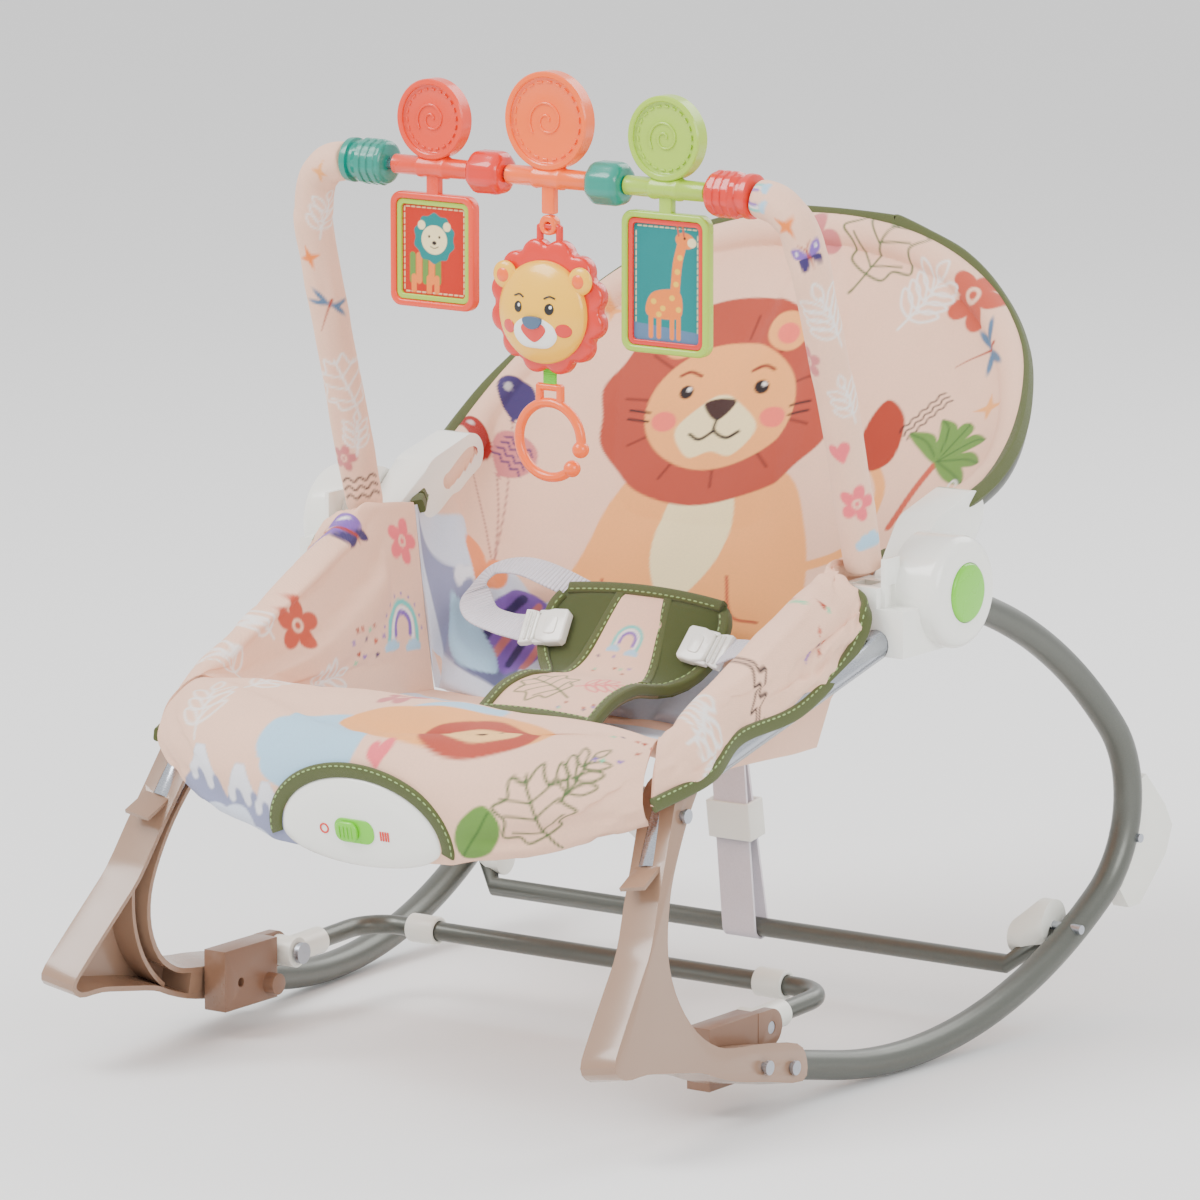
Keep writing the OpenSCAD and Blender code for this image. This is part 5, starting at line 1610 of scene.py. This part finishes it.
def disc(on, centre, r, thick):
    """A spinner's disc: raised rim, sunk middle, a ring of moulded dashes."""
    ring = circle(1, 72)
    rows = [(r - 0.8, 0), (r, 0.9), (r, thick - 0.9), (r - 0.8, thick), (r - 3.2, thick), (r - 3.9,
        thick - 0.6),
            (r - 4.0, thick - 2.2), (r - 4.8, thick - 2.6), (r * 0.4, thick - 2.2), (0.01, thick - 2.1)]
    points = np.vstack([on(centre[0] + ring[:, 0] * q, centre[1] + ring[:, 1] * q, h - thick / 2) for q,
                        h in rows])
    faces = ring_faces(len(rows), 72) + [tuple(reversed(range(72)))]
    parts = [(points, faces)]
    count = 22
    for k in range(count):
        a = 2 * math.pi * k / count
        b = a + 2 * math.pi / count * 0.55
        arc = np.linspace(a, b, 5)
        outline = np.vstack([np.column_stack([np.cos(arc), np.sin(arc)]) * (r - 6.2),
                             np.column_stack([np.cos(arc), np.sin(arc)])[::-1] * (r - 7.5)]) + centre
        parts.append(plate(outline, 1.4, lambda x, y, o: on(x, y, o + thick / 2 - 3.0), 0.4))
    # a plain raised spiral stands where the photo's mark is
    turn = np.linspace(0, 3.2 * math.pi, 60)
    spiral = np.column_stack([np.cos(turn), np.sin(turn)]) * (1.5 + turn * (r * 0.44 - 1.5) / turn[-1])[:,
        None]
    path = on(centre[0] + spiral[:, 0], centre[1] + spiral[:, 1], np.full(60, thick / 2 - 1.9))
    _, u, w = carried_frames(path)
    parts.append(swept(path, circle(0.85, 10), u, w))
    return parts


def spinner(x0, r, half, stem):
    """A disc on a barrel round the rod, with a stem below."""
    on = flat_on_rod(x0)
    parts = disc(on, (0, r + 5), r, 11)
    barrel = [(-half, 4.1), (-half, 5.4), (-half + 0.8, 6.3), (-12, 6.4), (-11, 7.2), (-9, 7.4), (-5, 6.6),
              (5, 6.6), (9, 7.4),
              (11, 7.2), (12, 6.4), (half - 0.8, 6.3), (half, 5.4), (half, 4.1)]
    hub, faces = lathe(barrel, (x0, ROD_Y, ROD_Z))
    n = 48
    faces += [(k, (k + 1) % n, (len(barrel) - 1) * n + (k + 1) % n,
               (len(barrel) - 1) * n + k) for k in range(n)]
    parts.append((hub, faces))
    parts.append(plate(rounded_rect(9.5, stem + 4, 1.2, 4) + [0, -stem / 2 - 1], 6, lambda x, y, o: on(x, y,
        o - 3), 1.0))
    parts.append(plate(rounded_rect(13, 12, 3, 5) + [0, 4.5], 7, lambda x, y, o: on(x, y, o - 3.5), 1.2))
    return on, parts


def framed_card(on, top, w, h, parts):
    """A picture frame with round corners hung below the rod; its rim joins the spinner's other parts."""
    c = [0, top - h / 2]
    parts.append(plate(rounded_rect(w, h, 8, 8) + c, 8, lambda x, y, o: on(x, y, o - 4), 1.6,
                       rounded_rect(w - 9, h - 9, 5, 8) + c))
    parts.append(plate(rounded_rect(w - 8, h - 8, 5, 6) + c, 1.6, lambda x, y, o: on(x, y, o - 4), 0.3))


def liner(name, on, top, w, h, body, slot, mat):
    c = [0, top - h / 2]
    p, f = plate(rounded_rect(w - 9.2, h - 9.2, 4.6, 8) + c, 4.6, lambda x, y, o: on(x, y, o - 2.2), 0.6,
                 rounded_rect(w - 16, h - 16, 2.5, 8) + c)
    piece(name, p, f, body, slot, mat, sharp=45)


def card(name, on, top, w, h, body, mat, draw, slot):
    """The printed picture: a fine grid with its colours on its points."""
    wide, high = w - 14, h - 14
    cols, rows = int(wide / 0.55), int(high / 0.55)
    yy, xx = np.meshgrid(np.linspace(-high / 2, high / 2, rows), np.linspace(-wide / 2, wide / 2, cols),
                         indexing="ij")
    p = on(xx, yy + top - h / 2, np.full(xx.shape, 0.6))
    low = on(xx[::rows - 1, ::cols - 1], yy[::rows - 1, ::cols - 1] + top - h / 2, np.full((2, 2), -2.0))
    at = np.column_stack([xx.ravel(), yy.ravel()])
    faces = grid_faces(rows, cols).tolist()
    k = np.arange(rows * cols).reshape(rows, cols)
    b = rows * cols
    q = [b, b + 1, b + 2, b + 3]
    faces += [[q[0], q[1], q[3], q[2]][::-1], [*k[0, ::-1], q[0], q[1]], [*k[-1, :], q[3], q[2]], [*k[:, 0],
        q[2], q[0]],
              [*k[::-1, -1], q[1], q[3]]]
    obj = piece(name, np.vstack([p.reshape(-1, 3), low.reshape(-1, 3)]), faces, body, slot, mat,
                uv=np.vstack([at, at[:4]]))
    art = Artwork(at, "teal", 0.45)
    draw(art, wide, high)
    paint(obj, np.vstack([art.rgb, np.tile(art.rgb[0], (4, 1))]))


def dashed_frame(art, w, h, ink):
    for sx in (-1, 1):
        for y in np.arange(-h / 2 + 4, h / 2 - 5, 4.2):
            art.line([(sx * (w / 2 - 2.6), y), (sx * (w / 2 - 2.6), y + 2.6)], 0.7, ink, smooth=False)
    for sy in (-1, 1):
        for x in np.arange(-w / 2 + 4, w / 2 - 5, 4.2):
            art.line([(x, sy * (h / 2 - 2.6)), (x + 2.6, sy * (h / 2 - 2.6))], 0.7, ink, smooth=False)


def lion_card(art, w, h):
    art.rgb[:] = INK["card_red"]
    dashed_frame(art, w, h, "cream")
    for k in range(5):
        art.line([(-17 + 5 * k, -20), (-17 + 5 * k, -4)], 4.6, "orange" if k % 2 else "leaf", smooth=False)
    for x in (-16, -4, 2):
        art.line([(x, -26), (x, -18)], 4.2, "orange", smooth=False)
    ring = [((15 + 1.6 * (k % 2)) * math.cos(k * math.pi / 10),
             8 + (15 + 1.6 * (k % 2)) * math.sin(k * math.pi / 10)) for k in range(20)]
    art.shape(ring, "teal")
    art.oval((0, 7), (10, 9.4), "cream")
    for sx in (-1, 1):
        art.oval((sx * 10, 16), 3, "cream")
        art.oval((sx * 4, 9), 0.9, "black")
    art.oval((0, 5), (1.8, 1.3), "black")
    art.line([(-3, 2.6), (0, 1.6), (3, 2.6)], 0.6, "black")


def giraffe_card(art, w, h):
    art.rgb[:] = INK["teal"]
    dashed_frame(art, w, h, "cream")
    art.shape([(-26, -38), (26, -38), (26, -30), (-26, -26)], "blue_grey", smooth=False)
    art.line([(6, -8), (8, 12), (11, 24)], 7, "orange")
    art.shape([(-16, -16), (-10, -6), (8, -4), (12, -14), (8, -22), (-12, -22)], "orange")
    for x in (-12, -6, 4, 9):
        art.line([(x, -34), (x, -18)], 3.4, "orange", smooth=False)
    art.oval((14, 28), (7.5, 5), "orange", -10)
    art.oval((19, 27), (3.4, 3), "cream")
    for x in (9, 13):
        art.line([(x, 31), (x - 1, 37)], 1.3, "terracotta", smooth=False)
        art.oval((x - 1, 38), 1.5, "yellow")
    art.oval((13.5, 29.5), 0.9, "black")
    for x, y in ((-10, -12), (-3, -16), (4, -9), (7, 0), (8, 8), (10, 17), (-6, -20), (9, -16)):
        art.oval((x, y), (2.1, 1.8), "yellow")


on, parts = spinner(-90, 26, 31, 16)
framed_card(on, -17, 66, 74, parts)
piece("spinner_left_toy", *joined(*parts), "spinner_left", "toy_red", SPINNER_RED, ("spinner_left",),
      sharp=40)
liner("spinner_left_liner", on, -17, 66, 74, "spinner_left", "toy_lime", LIME)
card("spinner_left_picture", on, -17, 66, 74, "spinner_left", PRINT, lion_card, "toy_red")

on, parts = spinner(90, 27, 31, 14)
framed_card(on, -15, 66, 90, parts)
piece("spinner_right_toy", *joined(*parts), "spinner_right", "toy_lime", LIME, ("spinner_right",), sharp=40)
liner("spinner_right_liner", on, -15, 66, 90, "spinner_right", "toy_red", RED)
card("spinner_right_picture", on, -15, 66, 90, "spinner_right", PRINT, giraffe_card, "toy_lime")

on, parts = spinner(0, 31.5, 32, 20)
parts.append(plate(rounded_rect(13, 13, 6, 8) + [0, -30], 7, lambda x, y, o: on(x, y, o - 3.5), 1.6,
                   rounded_rect(5.6, 5.6, 2.7, 8) + [0, -31]))
piece("spinner_middle_toy", *joined(*parts), "spinner_middle", "toy_orange", ORANGE, ("spinner_middle",),
      sharp=40)

for x0, word, mat, slot in ((-46, "left", RED, "toy_red"), (46, "right", TEAL, "toy_teal")):
    profile = [(-12.5, 4.1), (-12.5, 9.5), (-11.4, 12.4), (-9, 13.9), (-6.6, 14.4), (6.6, 14.4), (9, 13.9),
               (11.4, 12.4),
               (12.5, 9.5), (12.5, 4.1)]
    points, faces = lathe(profile, (x0, ROD_Y, ROD_Z))
    last = (len(profile) - 1) * 48
    faces += [(k, (k + 1) % 48, last + (k + 1) % 48, last + k) for k in range(48)]
    d = points - [x0, ROD_Y, ROD_Z]
    a = np.arctan2(d[:, 2], d[:, 1])
    wide = np.clip((np.hypot(d[:, 1], d[:, 2]) - 9) / 4, 0, 1)
    points[:, 1:] = [ROD_Y, ROD_Z] + d[:, 1:] * (1 - 0.05 * wide * (0.5 + 0.5 * np.cos(8 * a)))[:, None]
    piece("bead_" + word + "_toy", points, faces, "bead_" + word, slot, mat, ("bead_" + word,), sharp=50)

# Lion rattle
on = flat_on_rod(0)
rim = []
for k in range(240):
    a = 2 * math.pi * k / 240
    best = 40.0
    for j in range(12):
        b = math.radians(30 * j + 15)
        d = 34 * math.cos(a - b)
        rest = 100 - (34 * math.sin(a - b)) ** 2
        if rest > 0 and d > 0:
            best = max(best, d + math.sqrt(rest))
    rim.append((best * math.cos(a), best * math.sin(a)))
rim = np.array(rim)
rings = [(0.94, -5.0), (0.985, -4.2), (1.0, -2.5), (1.0, 2.6), (0.985, 4.4), (0.95, 5.4), (0.88, 6.0), (0.8,
    6.0), (0.5, 6.0)]
points = np.vstack([on(rim[:, 0] * q, -82 + rim[:, 1] * q, o) for q, o in rings])
faces = ring_faces(len(rings), 240) + end_caps(len(rings), 240)
parts = [(points, faces)]
loop_path = on([-7.5] * 6 + [-7.5 + 3 * k for k in range(1, 5)] + [7.5] * 6,
               [-46, -42, -38, -35, -33, -31.6] + [-30.9] * 4 + [-31.6, -33, -35, -38, -42, -46], 0.0)
loop_path = curve(loop_path, 1.2)
_, u, w = carried_frames(loop_path)
parts.append(swept(loop_path, circle(2.4, 16), u, w))
piece("lion_mane_toy", *joined(*parts), "lion", "toy_red", RED, ("lion_mane",), sharp=40)

parts = []
dome = []
for q, o in ((33, 5.0), (33, 8.6), (32.3, 10.2), (30, 12.0), (25, 14.4), (18, 16.9), (10, 18.7), (0.01,
    19.4)):
    ring = circle(q, 96)
    dome.append(on(ring[:, 0], -85 + ring[:, 1], o))
points = np.vstack(dome)
faces = ring_faces(len(dome), 96) + [tuple(reversed(range(96)))]
parts.append((points, faces))
for sx in (-1, 1):
    parts.append(ellipsoid(on(sx * 29.0, -63.0, 8.2), (9, 3.4, 9)))
piece("lion_face_toy", *joined(*parts), "lion", "toy_yellow", YELLOW, ("lion_face",), sharp=40)


def on_face(x, h, lift=0.0):
    """A point of the lion's domed face, x and h from its middle."""
    r = np.hypot(x, h)
    return on(x, -85 + h, np.interp(r, (0, 10, 18, 25, 30, 33), (19.4, 18.7, 16.9, 14.4, 12.0, 9)) + lift)


def face_patch(outline, lift):
    """A thin moulded patch that follows the face."""
    p = np.asarray(outline, float)
    p = catmull(p, np.linspace(0, len(p), 8 * len(p), endpoint=False), True)
    middle = p.mean(0)
    rings = [on_face(*(middle + (p - middle) * q).T, l) for q, l in
             ((1, -0.8), (1, lift * 0.6), (0.96, lift), (0.8, lift), (0.55, lift), (0.25, lift))]
    n = len(p)
    points = np.vstack([*rings, on_face(*middle[:, None], lift)])
    faces = ring_faces(len(rings), n)
    faces += [(5 * n + k, 5 * n + (k + 1) % n, 6 * n) for k in range(n)] + [tuple(reversed(range(n)))]
    return points, faces


def ring_points(x, h, rx, rh, n=14):
    a = np.linspace(0, 2 * math.pi, n, endpoint=False)
    return np.column_stack([x + rx * np.cos(a), h + rh * np.sin(a)])


muzzle = [(0, -2), (8, -3), (15, -8), (16, -15), (10, -21), (0, -22), (-10, -21), (-16, -15), (-15, -8),
          (-8, -3)]
piece("lion_muzzle", *face_patch(muzzle, 0.7), "lion", "white_plastic", WHITE, sharp=40)
nose_red = [(-6.5, -6), (6.5, -6), (9, -11), (0, -18), (-9, -11)]
piece("lion_bridge", *face_patch(nose_red, 1.2), "lion", "toy_red", RED, sharp=40)
NOSE = moulded("blue_grey_plastic", (92, 110, 130), 0.25, 0.4, 0.01, 0.03)
BLACK = moulded("black_plastic", (28, 26, 28), 0.2, 0.5, 0.01, 0.02)
piece("lion_nose", *face_patch([(-7, -2.5), (0, -1), (7, -2.5), (5.5, -7.5), (0, -9.5), (-5.5, -7.5)], 2.2),
      "lion", "white_plastic", NOSE, sharp=40)
parts = [face_patch(ring_points(sx * 12, 4, 3.1, 3.6), 0.5) for sx in (-1, 1)]
piece("lion_eyes", *joined(*parts), "lion", "white_plastic", BLACK, sharp=40)
parts = [face_patch(ring_points(sx * 12 + 1.1, 5.3, 1.0, 1.1), 0.75) for sx in (-1, 1)]
piece("lion_eye_glints", *joined(*parts), "lion", "white_plastic", WHITE, sharp=40)
parts = [face_patch(ring_points(sx * 21, -9.5, 5.2, 4.4), 0.5) for sx in (-1, 1)]
piece("lion_cheeks", *joined(*parts), "lion", "toy_red", RED, sharp=40)
parts = []
for sx in (-1, 1):
    brow = on_face(np.array([sx * 8.0, sx * 11.5, sx * 15.5]), np.array([10.5, 12.0, 10.8]), 0.25)
    brow = curve(brow, 0.8)
    _, u, w = carried_frames(brow)
    parts.append(swept(brow, circle(0.6, 8), u, w))
piece("lion_brows", *joined(*parts), "lion", "white_plastic", BLACK, sharp=40)
parts = [ellipsoid(on(sx * 29.0, -63.0, 10.2), (5, 2.2, 5)) for sx in (-1, 1)]
piece("lion_ear_insides", *joined(*parts), "lion", "toy_orange", ORANGE, sharp=40)

# Ribbon and link ring
ribbon_path = np.array([on(0, h, 0.0) for h in np.linspace(-134, -119, 12)])
ribbon("ribbon_strap", ribbon_path, (0, -1, 0), 10, 2.4, "lion", "ribbon_green", RIBBON, ("lion_ribbon",))
RING_Z = ROD_Z - 134 - 34
angle = np.radians(np.linspace(-10, 315, 90))
ring = np.column_stack([24 * np.cos(angle), np.full(90, ROD_Y), RING_Z + 24 * np.sin(angle)])
_, u, w = frames(ring, (0, 1, 0))
parts = [swept(ring, circle(3.2, 20), u, w)]
for k in (0, -1):
    parts.append(ellipsoid(ring[k], (5.5, 5.5, 5.5)))
for sx in (-1, 1):
    parts.append(plate(rounded_rect(4, 13, 1.5, 4) + [sx * 8, -138.5], 5, lambda x, y, o: on(x, y, o - 2.5),
                       1.0))
bar = np.array([on(x, -134.0, 0.0) for x in (-9.0, 9.0)])
_, u, w = carried_frames(bar)
parts.append(swept(bar, circle(2.5, 16), u, w))
piece("link_ring_toy", *joined(*parts), "link_ring", "toy_orange", ORANGE, ("link_ring",), sharp=40)


# ---------- moulded frame pieces ----------
for side, word in ((-1, "left"), (1, "right")):
    soften("front_leg_" + word, 2.4, "base", "leg_taupe", TAUPE, 4, 28)
    soften("hub_housing_" + word, 4.5, "base", "white_plastic", WHITE, 4, 35)
    soften("backrest_bracket_" + word, 5.0, "backrest", "white_plastic", WHITE)
    soften("button_" + word, 1.6, "button_" + word, "button_green", GREEN, 4, 35)
    soften("seat_tube_" + word, 0.3, "base", "bright_steel", STEEL, 1, 60)
soften("kickstand_blocks", 3.5, "base", "block_taupe", TAUPE_BLOCK)
soften("leg_brackets", 1.4, "base", "white_plastic", WHITE)
soften("rear_brackets", 1.2, "base", "clip_white", WHITE_CLIP)
soften("rear_feet", 1.6, "base", "clip_white", WHITE_CLIP)
soften("kickstand_eyes", 1.0, "kickstand", "clip_white", WHITE_CLIP)
soften("kickstand_clips", 1.2, "kickstand", "clip_white", WHITE_CLIP)
soften("strap_adjuster", 1.0, "base", "clip_white", WHITE_CLIP)
soften("vibration_housing", 1.0, "base", "clip_white", WHITE_CLIP, 2, 40)
soften("battery_door", 0.5, "base", "clip_white", WHITE_CLIP, 2, 40)
soften("tether_strap", 0.7, "base", "webbing", WEBBING, 2, 40)
soften("rear_cross_bar", 0.3, "base", "frame_grey", TUBE_GREY, 1, 60)
soften("seat_front_tube", 0.3, "base", "bright_steel", STEEL, 1, 60)
BATTERY = moulded("battery_wrap", (52, 112, 84), 0.35, 0.3, 0.01, 0.05)
MOTOR = bright_steel("motor_can", 0.3)
for name, material in (("leg_bolts", BOLT), ("pivot_bolts", BOLT), ("frame_screws", BOLT),
                       ("kickstand_pins", BOLT),
                       ("button_springs", SPRING), ("batteries", BATTERY), ("vibration_motor", MOTOR)):
    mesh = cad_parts[name].data
    mesh.materials.clear()
    mesh.materials.append(material)


# ---------- floor, light and camera ----------
floor_mesh = bpy.data.meshes.new("floor")
floor_mesh.from_pydata([(-6, -6, -0.001), (6, -6, -0.001), (6, 6, -0.001), (-6, 6, -0.001)], [], [(0, 1, 2,
    3)])
floor = bpy.data.objects.new("floor", floor_mesh)
bpy.context.scene.collection.objects.link(floor)
paper = Graph("white_paper_sweep", (0.86, 0.86, 0.86), 0.9)
paper.set("Base Color", paper.shade(plain_colour(paper, (0.86, 0.86, 0.86)),
                                    paper.ramp(paper.noise(paper.where, 0.6, 2), 0.3, 0.7, 0.99, 1.0)))
floor_mesh.materials.append(paper.material)

world = bpy.data.worlds.new("studio")
bpy.context.scene.world = world
world.use_nodes = True
world.node_tree.nodes["Background"].inputs[0].default_value = (1, 1, 1, 1)
world.node_tree.nodes["Background"].inputs[1].default_value = 1.25


def lamp(name, at, target, size, power):
    light = bpy.data.lights.new(name, "AREA")
    light.shape, light.size, light.energy = "SQUARE", size, power
    obj = bpy.data.objects.new(name, light)
    obj.location = at
    obj.rotation_euler = (Vector(target) - Vector(at)).to_track_quat("-Z", "Y").to_euler()
    bpy.context.scene.collection.objects.link(obj)


lamp("key", (-1.2, -1.6, 2.6), (0, 0, 0.25), 1.6, 85)
lamp("side", (2.4, -0.9, 1.4), (0, 0, 0.25), 1.4, 34)
lamp("back", (0.4, 2.2, 2.0), (0, 0, 0.3), 1.8, 40)

# The photo's own camera, in metres and mm of lens
CAMERA_AT, CAMERA_TO, LENS, SENSOR = (3.069, -4.4155, 1.279), (0, 0.0005, 0.282), 255, 36
camera_data = bpy.data.cameras.new("camera")
camera_data.lens, camera_data.sensor_width = LENS, SENSOR
camera = bpy.data.objects.new("camera", camera_data)
camera.location = CAMERA_AT
camera.rotation_euler = (Vector(CAMERA_TO) - Vector(camera.location)).to_track_quat("-Z", "Y").to_euler()
bpy.context.scene.collection.objects.link(camera)
bpy.context.scene.camera = camera
